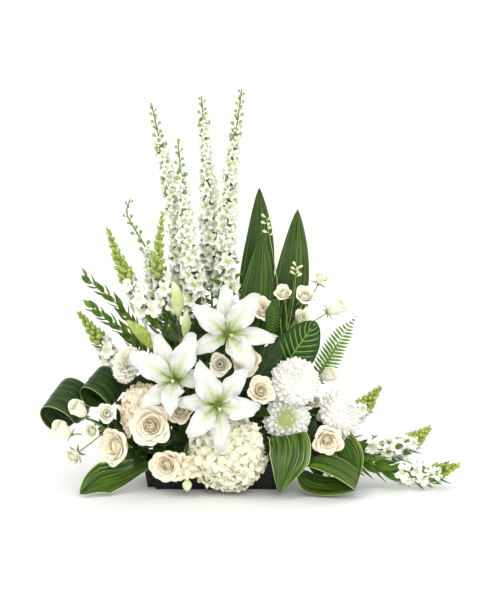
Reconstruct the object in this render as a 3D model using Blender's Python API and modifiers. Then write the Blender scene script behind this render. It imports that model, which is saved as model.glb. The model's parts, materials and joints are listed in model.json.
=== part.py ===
"""One-sided arrangement of white flowers in a low black tray, for Blender 4.5.

Metres, +Z up, the front faces -Y. The origin is the middle of the tray's underside.
Every stem stands in a plain hole in the foam brick. Each bloom, spray, spike, frond
and leaf is an object of its own, made from the driving dimensions below.
Run with: blender --background --python part.py
"""

import math

import bmesh
import bpy
from mathutils import Matrix, Vector

# Gaps between pieces that touch, and the finest distance that counts
SEAT_GAP = 0.0003
WELD = 0.00001
FLAT_ANGLE = 0.3

# Tray
TRAY_LENGTH = 0.280
TRAY_WIDTH = 0.140
TRAY_HEIGHT = 0.050
TRAY_WALL = 0.0025
TRAY_CORNER = 0.018
TRAY_TAPER = 0.94

# Foam brick
FOAM_LENGTH = 0.230
FOAM_WIDTH = 0.104
FOAM_BOTTOM = TRAY_WALL + SEAT_GAP
FOAM_TOP = 0.092
FOAM_EDGE = 0.004
HOLE_DEPTH = 0.026
HOLE_MOUTH = 0.006
HOLE_SIDES = 5

# Blades and stems
PETAL_THICK = 0.0020
LEAF_THICK = 0.0018
FROND_THICK = 0.0010
SMALL_LEAF_THICK = 0.0008
FOOT_RADIUS = 0.0020
FOOT_SIDES = 3
SHADE_ANGLE = math.radians(40)
GOLDEN_ANGLE = math.radians(137.508)
UP = Vector((0, 0, 1))

# Radii of the stems
LILY_STALK = 0.0038
LILY_STALK_TIP = 0.0024
LILY_NECK = 0.0045
LILY_NECK_WIDEST = 0.0072
PEDICEL = 0.0026
BUD_STALK = 0.0022
ROSE_STEM = 0.0026
ROSE_STEM_TIP = 0.0024
ROSE_HIP = 0.0062
SPRAY_STEM = 0.0024
SPRAY_STEM_TIP = 0.0016
TWIG = 0.0014
DOME_STEM = 0.0028
DOME_STEM_TIP = 0.0036
HYDRANGEA_STEM = 0.0036
HYDRANGEA_STEM_TIP = 0.0044
SPIKE_STEM = 0.0026
SPIKE_TIP = 0.0011
YOUNG_STEM = 0.0024
LEAF_STALK = 0.0028
LEAF_STALK_TIP = 0.0016
LOOP_STALK = 0.0030
LOOP_STALK_TIP = 0.0024
FERN_STALK = 0.0018
FERN_STALK_TIP = 0.0013
SPRIG_STEM = 0.0022
SPRIG_STEM_TIP = 0.0012

# Colours as the photograph shows them: colour and roughness
WHITE_PETAL = ("white_petal", (0.90, 0.92, 0.84, 1), 0.55)
CREAM_PETAL = ("cream_petal", (0.90, 0.84, 0.68, 1), 0.60)
IVORY_FLORET = ("ivory_floret", (0.86, 0.86, 0.70, 1), 0.60)
SPIKE_GREEN = ("spike_green", (0.52, 0.62, 0.30, 1), 0.55)
STEM_GREEN = ("stem_green", (0.16, 0.30, 0.07, 1), 0.50)
DARK_LEAF = ("dark_leaf", (0.05, 0.13, 0.03, 1), 0.35)
STRIPED_LEAF = ("striped_leaf", (0.08, 0.17, 0.03, 1), 0.35)
FERN_GREEN = ("fern_green", (0.14, 0.28, 0.06, 1), 0.50)
TRAY_BLACK = ("tray_black", (0.02, 0.02, 0.022, 1), 0.35)
FOAM_GREEN = ("foam_green", (0.05, 0.12, 0.06, 1), 0.90)

holes = []


def millimetres(*values):
    """A point given in millimetres, as a vector in metres."""
    return Vector([value / 1000 for value in values])


def clear_scene():
    """Removes what the start-up file or an earlier run left in the scene."""
    for obj in list(bpy.data.objects):
        bpy.data.objects.remove(obj)
    for collection in list(bpy.data.collections):
        bpy.data.collections.remove(collection)


def material(finish):
    """A Principled material, made once for each finish."""
    name, colour, roughness = finish
    made = bpy.data.materials.get(name)
    if made is None:
        made = bpy.data.materials.new(name)
        made.use_nodes = True
        shader = made.node_tree.nodes["Principled BSDF"]
        shader.inputs["Base Color"].default_value = colour
        shader.inputs["Roughness"].default_value = roughness
        shader.inputs["Metallic"].default_value = 0.0
        made.diffuse_color = colour
    return made


def collection_named(name):
    """The collection of that name, linked to the scene."""
    found = bpy.data.collections.get(name)
    if found is None:
        found = bpy.data.collections.new(name)
        bpy.context.scene.collection.children.link(found)
    return found


def object_from(shape, name, collection="flower_arrangement"):
    """A mesh object made from a bmesh, which is freed."""
    mesh = bpy.data.meshes.new(name)
    shape.to_mesh(mesh)
    shape.free()
    obj = bpy.data.objects.new(name, mesh)
    collection_named(collection).objects.link(obj)
    return obj


def finished(obj, finish, smooth=True):
    """Gives the object its material and, on round pieces, smooth shading."""
    obj.data.materials.clear()
    obj.data.materials.append(material(finish))
    if smooth:
        obj.data.shade_smooth()
        obj.data.set_sharp_from_angle(angle=SHADE_ANGLE)
    return obj


def join_repeats(trunk, pieces):
    """Fuses the repeats to what they grow from with one Boolean union.

    Points that the union leaves on flat faces and straight edges are then dissolved.
    """
    if not pieces:
        return trunk
    group = collection_named(trunk.name + "_repeats")
    for piece in pieces:
        for holder in list(piece.users_collection):
            holder.objects.unlink(piece)
        group.objects.link(piece)
    union = trunk.modifiers.new("join", "BOOLEAN")
    union.operation = "UNION"
    union.operand_type = "COLLECTION"
    union.collection = group
    bpy.context.view_layer.objects.active = trunk
    bpy.ops.object.modifier_apply(modifier=union.name)
    for piece in list(group.objects):
        bpy.data.objects.remove(piece)
    bpy.data.collections.remove(group)
    shape = bmesh.new()
    shape.from_mesh(trunk.data)
    bmesh.ops.dissolve_limit(
        shape, angle_limit=math.radians(FLAT_ANGLE), verts=shape.verts, edges=shape.edges
    )
    bmesh.ops.triangulate(shape, faces=shape.faces)
    shape.to_mesh(trunk.data)
    shape.free()
    return trunk


def frame_facing(origin, facing, roll=0.0):
    """Matrix whose Z axis is facing and whose X axis lies level, to the viewer's right."""
    z_axis = Vector(facing).normalized()
    x_axis = UP.cross(z_axis)
    if x_axis.length < 0.05:
        x_axis = Vector((1, 0, 0))
    x_axis.normalize()
    y_axis = z_axis.cross(x_axis)
    turned = Matrix((x_axis, y_axis, z_axis)).transposed().to_4x4()
    return Matrix.Translation(origin) @ turned @ Matrix.Rotation(roll, 4, "Z")


class Route:
    """A smooth line through a few points, read by its share of length from 0 to 1."""

    def __init__(self, points, steps=10):
        ends = [2 * points[0] - points[1], *points, 2 * points[-1] - points[-2]]
        self.line = [points[0].copy()]
        for i in range(1, len(ends) - 2):
            before, start, end, after = ends[i - 1 : i + 3]
            for step in range(1, steps + 1):
                t = step / steps
                self.line.append(
                    0.5
                    * (
                        2 * start
                        + (end - before) * t
                        + (2 * before - 5 * start + 4 * end - after) * t**2
                        + (3 * start - before - 3 * end + after) * t**3
                    )
                )
        self.sums = [0.0]
        for one, two in zip(self.line, self.line[1:]):
            self.sums.append(self.sums[-1] + (two - one).length)
        self.length = self.sums[-1]

    def at(self, share):
        """The point at that share of the length."""
        wanted = min(max(share, 0.0), 1.0) * self.length
        for i in range(1, len(self.sums)):
            if self.sums[i] >= wanted or i == len(self.sums) - 1:
                span = self.sums[i] - self.sums[i - 1]
                part = (wanted - self.sums[i - 1]) / span if span else 0.0
                return self.line[i - 1].lerp(self.line[i], part)

    def chords(self, count):
        """The straight pieces of a tube of that many pieces along this route."""
        return Route([self.at(i / count) for i in range(count + 1)], steps=1)

    def along(self, share):
        """The direction of the line at that share of the length."""
        near = self.at(share + 0.01) - self.at(share - 0.01)
        return near.normalized()


def tube(name, points, radii, rounding=1):
    """A closed tube along the points, with a radius at each of them."""
    data = bpy.data.curves.new(name, "CURVE")
    data.dimensions = "3D"
    data.bevel_depth = 1.0
    data.bevel_resolution = rounding
    data.use_fill_caps = True
    spline = data.splines.new("POLY")
    spline.points.add(len(points) - 1)
    for spot, place, radius in zip(spline.points, points, radii):
        spot.co = (*place, 1)
        spot.radius = radius
    curve = bpy.data.objects.new(name + "_curve", data)
    collection_named("flower_arrangement").objects.link(curve)
    bpy.context.view_layer.update()
    seen = curve.evaluated_get(bpy.context.evaluated_depsgraph_get())
    mesh = bpy.data.meshes.new_from_object(seen)
    shape = bmesh.new()
    shape.from_mesh(mesh)
    bmesh.ops.remove_doubles(shape, verts=shape.verts, dist=WELD)
    bmesh.ops.triangulate(shape, faces=shape.faces)
    made = object_from(shape, name)
    made.matrix_world = curve.matrix_world.copy()
    bpy.data.objects.remove(curve)
    bpy.data.meshes.remove(mesh)
    return made


def stem_points(entry, way, count):
    """Points of a stem: the foot of its hole, its entry, and count more along the way."""
    inward = (entry - way.at(0.02)).normalized()
    return [entry + inward * HOLE_DEPTH, *[way.at(i / count) for i in range(count + 1)]]


def planted_stem(name, way, radius, tip_radius, count, rounding=0, end=()):
    """A tapering stem that starts in the foam, and the line that runs down its middle.

    Its hole is noted for the foam. end holds points that follow the line's last one.
    """
    entry = way.at(0.0)
    points = [*stem_points(entry, way, count), *end]
    holes.append((points[0], entry, radius))
    steps = len(points) - 1
    radii = [radius + (tip_radius - radius) * (i / steps) ** 1.5 for i in range(steps + 1)]
    return tube(name, points, radii, rounding), way.chords(count)


def bloom_way(entry, lean, head, facing):
    """The route of a stem that leaves the foam along lean and meets the head from behind."""
    reach = (head - entry).length
    lean = Vector(lean).normalized()
    facing = Vector(facing).normalized()
    handles = [entry, entry + lean * reach * 0.4, head - facing * reach * 0.35, head]
    curve = []
    for i in range(9):
        t = i / 8
        weights = ((1 - t) ** 3, 3 * t * (1 - t) ** 2, 3 * t**2 * (1 - t), t**3)
        curve.append(sum((w * h for w, h in zip(weights, handles)), Vector()))
    return Route(curve)


def blade(name, across, along, place, thickness):
    """A thin closed blade: a grid carried by place(u, t), u from -1 to 1, t from 0 to 1.

    It is as thick as asked along its middle and thins to a sharp edge all round. Both
    faces are split into the same triangles. place draws both ends to a point.
    """
    shape = bmesh.new()
    bmesh.ops.create_grid(shape, x_segments=across, y_segments=along, size=1.0)
    for vert in shape.verts:
        vert.co = place(vert.co.x, (vert.co.y + 1) / 2)
    bmesh.ops.remove_doubles(shape, verts=shape.verts, dist=WELD)
    bmesh.ops.triangulate(shape, faces=shape.faces)
    shape.normal_update()
    middle = [(vert, vert.normal * thickness / 2) for vert in shape.verts if not vert.is_boundary]
    whole = [*shape.verts, *shape.edges, *shape.faces]
    copied = bmesh.ops.duplicate(shape, geom=whole)
    for vert, offset in middle:
        vert.co += offset
        copied["vert_map"][vert].co -= offset
    backs = [item for item in copied["geom"] if isinstance(item, bmesh.types.BMFace)]
    bmesh.ops.reverse_faces(shape, faces=backs)
    bmesh.ops.remove_doubles(shape, verts=shape.verts, dist=WELD / 10)
    return object_from(shape, name)


def leaf_place(way, half_width, outline, side, fold=0.0):
    """The placing rule of a leaf along a route.

    outline(t) is the share of half_width, side is the direction of its width and fold
    lifts its edges.
    """
    side = Vector(side)

    def place(u, t):
        centre = way.at(t)
        forward = way.along(t)
        across = (side - forward * side.dot(forward)).normalized()
        normal = across.cross(forward)
        half = half_width * outline(t)
        return centre + across * u * half + normal * fold * abs(u) * half

    return place


def lance(t):
    """Outline of a long leaf, widest before the middle, with a drawn-out tip."""
    return max(0.0, math.sin(math.pi * min(1.0, t**0.78))) ** 0.75


def oval(t):
    """Outline of a broad leaf with a blunt tip."""
    return max(0.0, math.sin(math.pi * t**0.92)) ** 0.55


def strap(t):
    """Outline of a folded strap leaf: broad nearly all the way, pointed at its end."""
    return min(1.0, math.sqrt(t * 8.0), math.sqrt(max(0.0, (1 - t) * 5.0)))


def floret(foot, facing, depth, radius, petals, notch, cup, corners, roll, throat):
    """A floret: a slim three-sided foot that opens into a face of petals.

    The rim is a ring with corners points to a petal and one notch between petals, drawn
    in to notch times the radius. cup is how deep the middle of the face lies, and throat
    is the share of the depth at which the foot starts to open.
    """
    shape = bmesh.new()
    sides = petals * (corners + 1)
    bmesh.ops.create_cone(
        shape, cap_ends=True, segments=sides, radius1=FOOT_RADIUS, radius2=radius, depth=1.0
    )
    for vert in shape.verts:
        angle = math.atan2(vert.co.y, vert.co.x)
        place = round(angle / (2 * math.pi) * sides) % sides
        if vert.co.z < 0:
            corner = 2 * math.pi * (place * FOOT_SIDES // sides) / FOOT_SIDES
            vert.co = Vector(
                (FOOT_RADIUS * math.cos(corner), FOOT_RADIUS * math.sin(corner), depth * throat)
            )
        else:
            drawn = notch if place % (corners + 1) == 0 else 1.0
            sunk = cup * 0.5 if place % (corners + 1) == 0 else -cup * 0.3
            vert.co = Vector((vert.co.x * drawn, vert.co.y * drawn, depth - sunk))
    bmesh.ops.remove_doubles(shape, verts=shape.verts, dist=WELD)
    shape.faces.ensure_lookup_table()
    base = min(shape.faces, key=lambda item: item.calc_center_median().z)
    face = max(shape.faces, key=lambda item: item.calc_center_median().z)
    centre = bmesh.ops.poke(shape, faces=[face])["verts"][0]
    centre.co = Vector((0, 0, depth - cup))
    root = bmesh.ops.poke(shape, faces=[base])["verts"][0]
    root.co = Vector((0, 0, 0))
    bmesh.ops.triangulate(shape, faces=shape.faces)
    bmesh.ops.recalc_face_normals(shape, faces=shape.faces)
    shape.transform(frame_facing(foot, facing, roll))
    return object_from(shape, "floret")


def bud(foot, facing, length, radius, sides=5, rings=2, widest=0.5):
    """A closed bud: a sphere drawn out from its foot, widest at that share of its length."""
    shape = bmesh.new()
    bmesh.ops.create_uvsphere(shape, u_segments=sides, v_segments=rings, radius=1.0)
    for vert in shape.verts:
        share = (vert.co.z + 1) / 2
        bent = share ** (math.log(widest) / math.log(0.5)) if 0 < share < 1 else share
        vert.co = Vector((vert.co.x * radius, vert.co.y * radius, bent * length))
    shape.transform(frame_facing(foot, facing))
    return object_from(shape, "bud")


def small_leaf(foot, direction, side, length, half_width, rings=3, droop=0.15):
    """A narrow leaf: a sphere flattened across side and drawn out to a point."""
    forward = Vector(direction).normalized()
    across = (Vector(side) - forward * forward.dot(side)).normalized()
    normal = across.cross(forward)
    shape = bmesh.new()
    bmesh.ops.create_uvsphere(shape, u_segments=4, v_segments=rings, radius=1.0)
    for vert in shape.verts:
        share = ((vert.co.z + 1) / 2) ** 1.2
        centre = foot + forward * length * share - UP * droop * length * share**2
        wide = across * vert.co.x * half_width
        vert.co = centre + wide + normal * vert.co.y * SMALL_LEAF_THICK
    bmesh.ops.triangulate(shape, faces=shape.faces)
    bmesh.ops.recalc_face_normals(shape, faces=shape.faces)
    return object_from(shape, "leaf")


def around(way, share, turn, tilt):
    """Direction that leaves the stem at that turn, tilted up along it by tilt radians."""
    forward = way.along(share)
    across = forward.cross(Vector((0.3, -0.9, 0.1))).normalized()
    other = forward.cross(across)
    outward = across * math.cos(turn) + other * math.sin(turn)
    return (outward * math.cos(tilt) + forward * math.sin(tilt)).normalized()


# Tray and foam


def build_tray():
    """The low tray: a tapered open box with rounded upright corners."""
    shape = bmesh.new()
    bmesh.ops.create_cube(shape, size=1.0)
    bmesh.ops.scale(shape, verts=shape.verts, vec=(TRAY_LENGTH, TRAY_WIDTH, TRAY_HEIGHT))
    upright = [
        edge
        for edge in shape.edges
        if abs(edge.verts[0].co.z - edge.verts[1].co.z) > TRAY_HEIGHT / 2
    ]
    bmesh.ops.bevel(shape, geom=upright, offset=TRAY_CORNER, segments=3, affect="EDGES")
    lid = [face for face in shape.faces if face.normal.z > 0.9]
    bmesh.ops.delete(shape, geom=lid, context="FACES")
    for vert in shape.verts:
        if vert.co.z < 0:
            vert.co.x *= TRAY_TAPER
            vert.co.y *= TRAY_TAPER
    bmesh.ops.translate(shape, verts=shape.verts, vec=(0, 0, TRAY_HEIGHT / 2))
    tray = object_from(shape, "tray")
    shell = tray.modifiers.new("wall", "SOLIDIFY")
    shell.thickness = TRAY_WALL
    shell.offset = -1.0
    shell.use_even_offset = True
    return finished(tray, TRAY_BLACK, smooth=False)


def build_foam():
    """The foam brick, drilled with one plain hole for each stem."""
    shape = bmesh.new()
    bmesh.ops.create_cube(shape, size=1.0)
    height = FOAM_TOP - FOAM_BOTTOM
    bmesh.ops.scale(shape, verts=shape.verts, vec=(FOAM_LENGTH, FOAM_WIDTH, height))
    bmesh.ops.bevel(
        shape, geom=shape.edges, offset=FOAM_EDGE, segments=1, affect="EDGES"
    )
    bmesh.ops.translate(shape, verts=shape.verts, vec=(0, 0, FOAM_BOTTOM + height / 2))
    foam = object_from(shape, "foam")
    for foot, entry, radius in holes:
        outward = (entry - foot).normalized()
        start = foot - outward * SEAT_GAP
        depth = (entry - start).length + HOLE_MOUTH
        bore = (radius + SEAT_GAP) / math.cos(math.pi / HOLE_SIDES)
        drill = bmesh.new()
        bmesh.ops.create_cone(
            drill,
            cap_ends=True,
            segments=HOLE_SIDES,
            radius1=bore,
            radius2=bore,
            depth=depth,
        )
        bmesh.ops.translate(drill, verts=drill.verts, vec=(0, 0, depth / 2))
        drill.transform(frame_facing(start, outward))
        cutter = object_from(drill, "drill", "foam_cutters")
        cutter.hide_render = True
        cutter.display_type = "WIRE"
    cut = foam.modifiers.new("holes", "BOOLEAN")
    cut.operation = "DIFFERENCE"
    cut.operand_type = "COLLECTION"
    cut.collection = collection_named("foam_cutters")
    return finished(foam, FOAM_GREEN, smooth=False)


# Lilies

INNER_HALF = 0.0195
INNER_START = (7, 0.0012)
OUTER_START = (14, 0.0032)
PETAL_START_HEIGHT = 0.002
PETAL_STEPS = 24
WRAP = math.radians(44)
STAMENS = 6
STAMEN_TIP = 0.0016
PISTIL_TIP = 0.0022


def lily_petal(angle, length, finish, half_width, bloom):
    """One petal, bent steadily from its root's lean off the axis to finish degrees.

    So it makes a funnel and then rolls back. It is wrapped round the axis, at most WRAP
    to each side. The narrow outer petals start wider and lie behind the broad inner ones.
    """
    start, start_radius = INNER_START if half_width > INNER_HALF else OUTER_START
    steps = PETAL_STEPS
    line = [(start_radius, PETAL_START_HEIGHT)]
    for i in range(steps):
        lean = math.radians(start + (finish - start) * ((i + 0.5) / steps))
        radius, height = line[-1]
        line.append(
            (
                radius + length / steps * math.sin(lean),
                height + length / steps * math.cos(lean),
            )
        )

    def place(u, t):
        spot = min(int(t * steps), steps - 1)
        part = t * steps - spot
        radius = line[spot][0] * (1 - part) + line[spot + 1][0] * part
        height = line[spot][1] * (1 - part) + line[spot + 1][1] * part
        half = half_width * (0.20 + 0.80 * math.sin(math.pi * min(t * 1.02, 1) ** 0.9))
        if t < 0.005 or t > 0.995:
            half = 0.0
        turn = math.radians(angle) + u * min(half / radius, WRAP)
        return bloom @ Vector((radius * math.cos(turn), radius * math.sin(turn), height))

    return blade("petal", 2, 6, place, PETAL_THICK)


def needle(tip, root, radius):
    """A slim three-sided spike, as wide as asked at its tip's end and pointed at its root."""
    reach = tip - root
    shape = bmesh.new()
    bmesh.ops.create_cone(
        shape, cap_ends=True, segments=3, radius1=0.0, radius2=radius, depth=reach.length
    )
    bmesh.ops.remove_doubles(shape, verts=shape.verts, dist=WELD)
    bmesh.ops.translate(shape, verts=shape.verts, vec=(0, 0, reach.length / 2))
    shape.transform(frame_facing(root, reach))
    return object_from(shape, "needle")


def build_lily(name, base, facing, petals):
    """An open lily: six petals and the stamens round a pistil, on a short neck."""
    bloom = frame_facing(base, facing)
    axis = Vector(facing).normalized()
    neck = tube(
        name,
        [base, base + axis * 0.007, base + axis * 0.018],
        [LILY_NECK, LILY_NECK_WIDEST, LILY_NECK],
    )
    pieces = [lily_petal(*petal, bloom) for petal in petals]
    pistil = bloom @ Vector((0.004, -0.006, 0.064))
    pieces.append(needle(pistil, base + axis * 0.012, PISTIL_TIP))
    for i in range(STAMENS):
        turn = 2 * math.pi * i / STAMENS + 0.44
        anther = Vector((0.020 * math.cos(turn), 0.020 * math.sin(turn) - 0.004, 0.052))
        pieces.append(needle(bloom @ anther, base + axis * 0.013, STAMEN_TIP))
    return finished(join_repeats(neck, pieces), WHITE_PETAL)


def branch(name, points, radius, tip_radius, count, rounding=0, end=()):
    """A side stem through the points, tapering. end holds points that follow."""
    way = Route(points)
    places = [*[way.at(i / count) for i in range(count + 1)], *end]
    steps = len(places) - 1
    radii = [radius + (tip_radius - radius) * i / steps for i in range(steps + 1)]
    return tube(name, places, radii, rounding)


def build_lily_stalk(name, entry, lean, base, facing, top=(), buds=(), leaves=()):
    """A stalk that carries one open lily, and perhaps buds above it."""
    axis = Vector(facing).normalized()
    head = base - axis * SEAT_GAP
    behind = base - axis * 0.012
    pieces = []
    if top:
        trunk, main = planted_stem(
            name, Route([entry, *top]), LILY_STALK, LILY_STALK_TIP, 5, 1
        )
        fork = main.at(0.52)
        bend = fork.lerp(behind, 0.5) + UP * 0.004
        pieces.append(
            branch("pedicel", [fork, bend, behind], PEDICEL, LILY_NECK, 3, 1, [head])
        )
    else:
        way = bloom_way(entry, lean, behind, facing)
        trunk, main = planted_stem(name, way, LILY_STALK, LILY_NECK, 5, 1, [head])
    for share, foot, tip, radius in buds:
        start = main.at(share)
        reach = tip - foot
        bend = start.lerp(foot, 0.6) - UP * 0.004
        pieces.append(branch("bud_stalk", [start, bend, foot], BUD_STALK, PEDICEL, 2))
        pieces.append(
            bud(foot - reach * 0.04, reach, reach.length * 1.04, radius, 6, 5, 0.45)
        )
    for share, turn, length in leaves:
        spot = main.at(share)
        out = around(main, share, turn, 0.5)
        pieces.append(small_leaf(spot, out, main.along(share).cross(out), length, 0.008))
    return finished(join_repeats(trunk, pieces), STEM_GREEN)


# Roses: one surface whose profile folds up and down through the petal whorls


LARGE_ROSE = 0.033


class Whorl:
    """One ring of rose petals, in shares of the bloom's radius."""

    def __init__(self, petals, rim, rim_height, trough, trough_height, turn, flare):
        self.petals = petals
        self.rim = rim
        self.rim_height = rim_height
        self.trough = trough
        self.trough_height = trough_height
        self.turn = turn
        self.flare = flare

    def rings(self, angle):
        """Radius and height of the rim and of the trough behind it, at this angle."""
        share = ((angle - self.turn) * self.petals / (2 * math.pi)) % 1.0
        swell = math.sin(math.pi * share)
        step = (share - 0.5) * self.flare
        rim = (self.rim * (1 + step + 0.06 * swell), self.rim_height + 0.12 * swell - 0.05)
        trough = (self.trough * (1 + step * 0.4), self.trough_height)
        return rim, trough


FULL_ROSE = [
    Whorl(5, 0.98, 0.52, 0.80, 0.40, 0.2, 0.10),
    Whorl(5, 0.80, 0.76, 0.60, 0.58, 0.9, 0.12),
    Whorl(4, 0.60, 0.94, 0.42, 0.74, 0.4, 0.14),
    Whorl(3, 0.40, 1.05, 0.20, 0.86, 1.3, 0.18),
]
HALF_ROSE = [
    Whorl(5, 0.98, 0.55, 0.74, 0.44, 0.2, 0.10),
    Whorl(4, 0.74, 0.84, 0.48, 0.66, 0.9, 0.13),
    Whorl(3, 0.46, 1.02, 0.24, 0.84, 0.4, 0.18),
]
SPRAY_ROSE = [
    Whorl(4, 0.92, 0.62, 0.66, 0.50, 0.2, 0.10),
    Whorl(4, 0.62, 0.96, 0.34, 0.76, 0.9, 0.14),
]


def rose_shape(whorls, sides, radius, heart=1.08):
    """A rose as one closed surface, made by moving the rings of a sphere.

    From the base the rings climb the outer petals to their rim, drop into the trough
    behind it and climb the next whorl, until they close at the heart.
    """
    shape = bmesh.new()
    levels = 4 + 2 * len(whorls)
    bmesh.ops.create_uvsphere(shape, u_segments=sides, v_segments=levels, radius=1.0)
    for vert in shape.verts:
        level = round(math.acos(max(-1.0, min(1.0, -vert.co.z))) / math.pi * levels)
        angle = math.atan2(vert.co.y, vert.co.x)
        if level == 0:
            spot = (0.0, 0.0)
        elif level == 1:
            spot = (0.30, 0.03)
        elif level == 2:
            spot = (0.78, 0.24)
        elif level < levels - 1:
            whorl = whorls[(level - 3) // 2]
            spot = whorl.rings(angle)[(level - 3) % 2]
        elif level == levels - 1:
            spot = (0.10, heart)
        else:
            spot = (0.0, heart - 0.08)
        across = spot[0] * radius
        vert.co = Vector(
            (across * math.cos(angle), across * math.sin(angle), spot[1] * radius)
        )
    bmesh.ops.triangulate(shape, faces=shape.faces)
    return shape


def build_rose(name, base, facing, radius):
    """A rose bloom on its base point: the large ones have one whorl more."""
    large = radius > LARGE_ROSE
    shape = rose_shape(FULL_ROSE if large else HALF_ROSE, 13 if large else 11, radius)
    shape.transform(frame_facing(base, facing))
    return finished(object_from(shape, name), CREAM_PETAL)


def build_rose_stem(name, entry, lean, base, facing, rising):
    """A rose's stem, which swells into the hip that carries the bloom.

    rising is the direction in which the stem meets the hip.
    """
    axis = Vector(facing).normalized()
    way = bloom_way(entry, lean, base - axis * 0.009, rising)
    points = stem_points(entry, way, 3)
    holes.append((points[0], entry, ROSE_STEM))
    points.append(base - axis * SEAT_GAP)
    radii = [ROSE_STEM] * (len(points) - 1) + [ROSE_HIP]
    return finished(tube(name, points, radii), STEM_GREEN)


def build_single_rose(name, entry, lean, base, facing, radius):
    """A rose that is mostly hidden: its stem and bloom are one solid."""
    axis = Vector(facing).normalized()
    way = bloom_way(entry, lean, base + axis * 0.003, facing)
    trunk, way = planted_stem(name, way, ROSE_STEM, ROSE_STEM_TIP, 4)
    shape = rose_shape(HALF_ROSE, 10, radius)
    shape.transform(frame_facing(base, facing))
    return finished(join_repeats(trunk, [object_from(shape, "bloom")]), CREAM_PETAL)


def build_spray(name, entry, main_points, roses, leaves=()):
    """Small roses on one branching stem: (share, centre, facing, radius, open)."""
    main = Route([entry, *main_points])
    trunk, main = planted_stem(name, main, SPRAY_STEM, SPRAY_STEM_TIP, 5)
    pieces = []
    for share, centre, facing, radius, is_open in roses:
        axis = Vector(facing).normalized()
        base = centre - axis * radius * 0.6
        fork = main.at(share)
        bend = fork.lerp(base, 0.55) - axis * radius * 0.5
        pieces.append(branch("twig", [fork, bend, base + axis * 0.003], TWIG, TWIG, 2))
        if is_open:
            shape = rose_shape(SPRAY_ROSE, 6, radius, heart=1.10)
            shape.transform(frame_facing(base, facing))
            pieces.append(object_from(shape, "small_rose"))
        else:
            pieces.append(bud(base, facing, radius * 2.1, radius * 0.85, 5, 4, 0.42))
    for share, turn, length in leaves:
        out = around(main, share, turn, 0.4)
        pieces.append(
            small_leaf(main.at(share), out, main.along(share).cross(out), length, length * 0.28)
        )
    return finished(join_repeats(trunk, pieces), CREAM_PETAL)


# Chrysanthemums and the carnation: domes whose surface is raised into petals


def petalled_dome(radius, front, back, sides, rows, tip, valley, centre_dip=0.0):
    """A dome of pointed petals in staggered rows, raised from a sphere by a formula.

    Each point keeps its direction from the centre, so the surface never folds. Petal
    tips stand out where ring and column are both even or both odd.
    """
    shape = bmesh.new()
    bmesh.ops.create_uvsphere(shape, u_segments=sides, v_segments=rows, radius=1.0)
    for vert in shape.verts:
        row = round(math.acos(max(-1.0, min(1.0, vert.co.z))) / math.pi * rows)
        column = round((math.atan2(vert.co.y, vert.co.x) % (2 * math.pi)) / (2 * math.pi) * sides)
        inside = 0 < row < rows
        depth = front if vert.co.z > 0 else back
        level = 1 / math.sqrt(
            (vert.co.x**2 + vert.co.y**2) / radius**2 + vert.co.z**2 / depth**2
        )
        if inside:
            level *= tip if (row + column) % 2 == 0 else valley
        level *= 1 - centre_dip * max(0.0, vert.co.z) ** 8
        vert.co *= level
    bmesh.ops.triangulate(shape, faces=shape.faces)
    return shape


def build_dome_flower(name, entry, lean, centre, facing, dome, back, finish):
    """A chrysanthemum or carnation with its stem, as one solid."""
    axis = Vector(facing).normalized()
    root = centre - axis * (back - 0.002)
    way = bloom_way(entry, lean, root, facing)
    trunk, way = planted_stem(name, way, DOME_STEM, DOME_STEM_TIP, 5)
    dome.transform(frame_facing(centre, facing))
    return finished(join_repeats(trunk, [object_from(dome, "head")]), finish)


# Hydrangeas


CORE_SHARE = 0.86
LOWEST_FLORET = -0.45


def build_hydrangea(name, entry, lean, centre, facing, size, spread, count, finish):
    """A mophead: florets of four petals that cover a smaller core, on one stem."""
    across, upward, front, back = size
    head = frame_facing(centre, facing)
    core = bmesh.new()
    bmesh.ops.create_uvsphere(core, u_segments=10, v_segments=6, radius=1.0)
    for vert in core.verts:
        depth = front if vert.co.z > 0 else back
        vert.co = Vector((vert.co.x * across, vert.co.y * upward, vert.co.z * depth)) * CORE_SHARE
    bmesh.ops.triangulate(core, faces=core.faces)
    core.transform(head)
    pieces = [object_from(core, "core")]
    for i in range(count):
        rise = 1 - (1 - LOWEST_FLORET) * (i + 0.5) / count
        ring = math.sqrt(1 - rise * rise)
        turn = GOLDEN_ANGLE * i
        way = Vector((ring * math.cos(turn), ring * math.sin(turn), rise))
        depth = front if rise > 0 else back
        spot = Vector((way.x * across, way.y * upward, way.z * depth))
        normal = Vector((way.x / across, way.y / upward, way.z / depth)).normalized()
        face = spot - normal * spread * 0.15
        foot = face - normal * spread * 1.2
        turned = head.to_3x3()
        pieces.append(
            floret(
                head @ foot, turned @ normal, spread * 1.2, spread, 4, 0.66,
                spread * 0.20, 2, turn * 0.7, 0.72,
            )
        )
    axis = Vector(facing).normalized()
    way = bloom_way(entry, lean, centre - axis * back * 0.6, facing)
    trunk, way = planted_stem(name, way, HYDRANGEA_STEM, HYDRANGEA_STEM_TIP, 4)
    return finished(join_repeats(trunk, pieces), finish)


# Larkspur and snapdragon spikes


def cup(foot, facing, depth, radius, sunk, roll):
    """A small floret of five pointed sepals round a sunken middle."""
    shape = bmesh.new()
    bmesh.ops.create_cone(
        shape, cap_ends=True, segments=5, radius1=0.0, radius2=radius, depth=depth
    )
    bmesh.ops.remove_doubles(shape, verts=shape.verts, dist=WELD)
    face = max(shape.faces, key=lambda item: len(item.verts))
    centre = bmesh.ops.poke(shape, faces=[face])["verts"][0]
    centre.co.z -= sunk
    bmesh.ops.translate(shape, verts=shape.verts, vec=(0, 0, depth / 2))
    shape.transform(frame_facing(foot, facing, roll))
    return object_from(shape, "cup")


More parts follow.
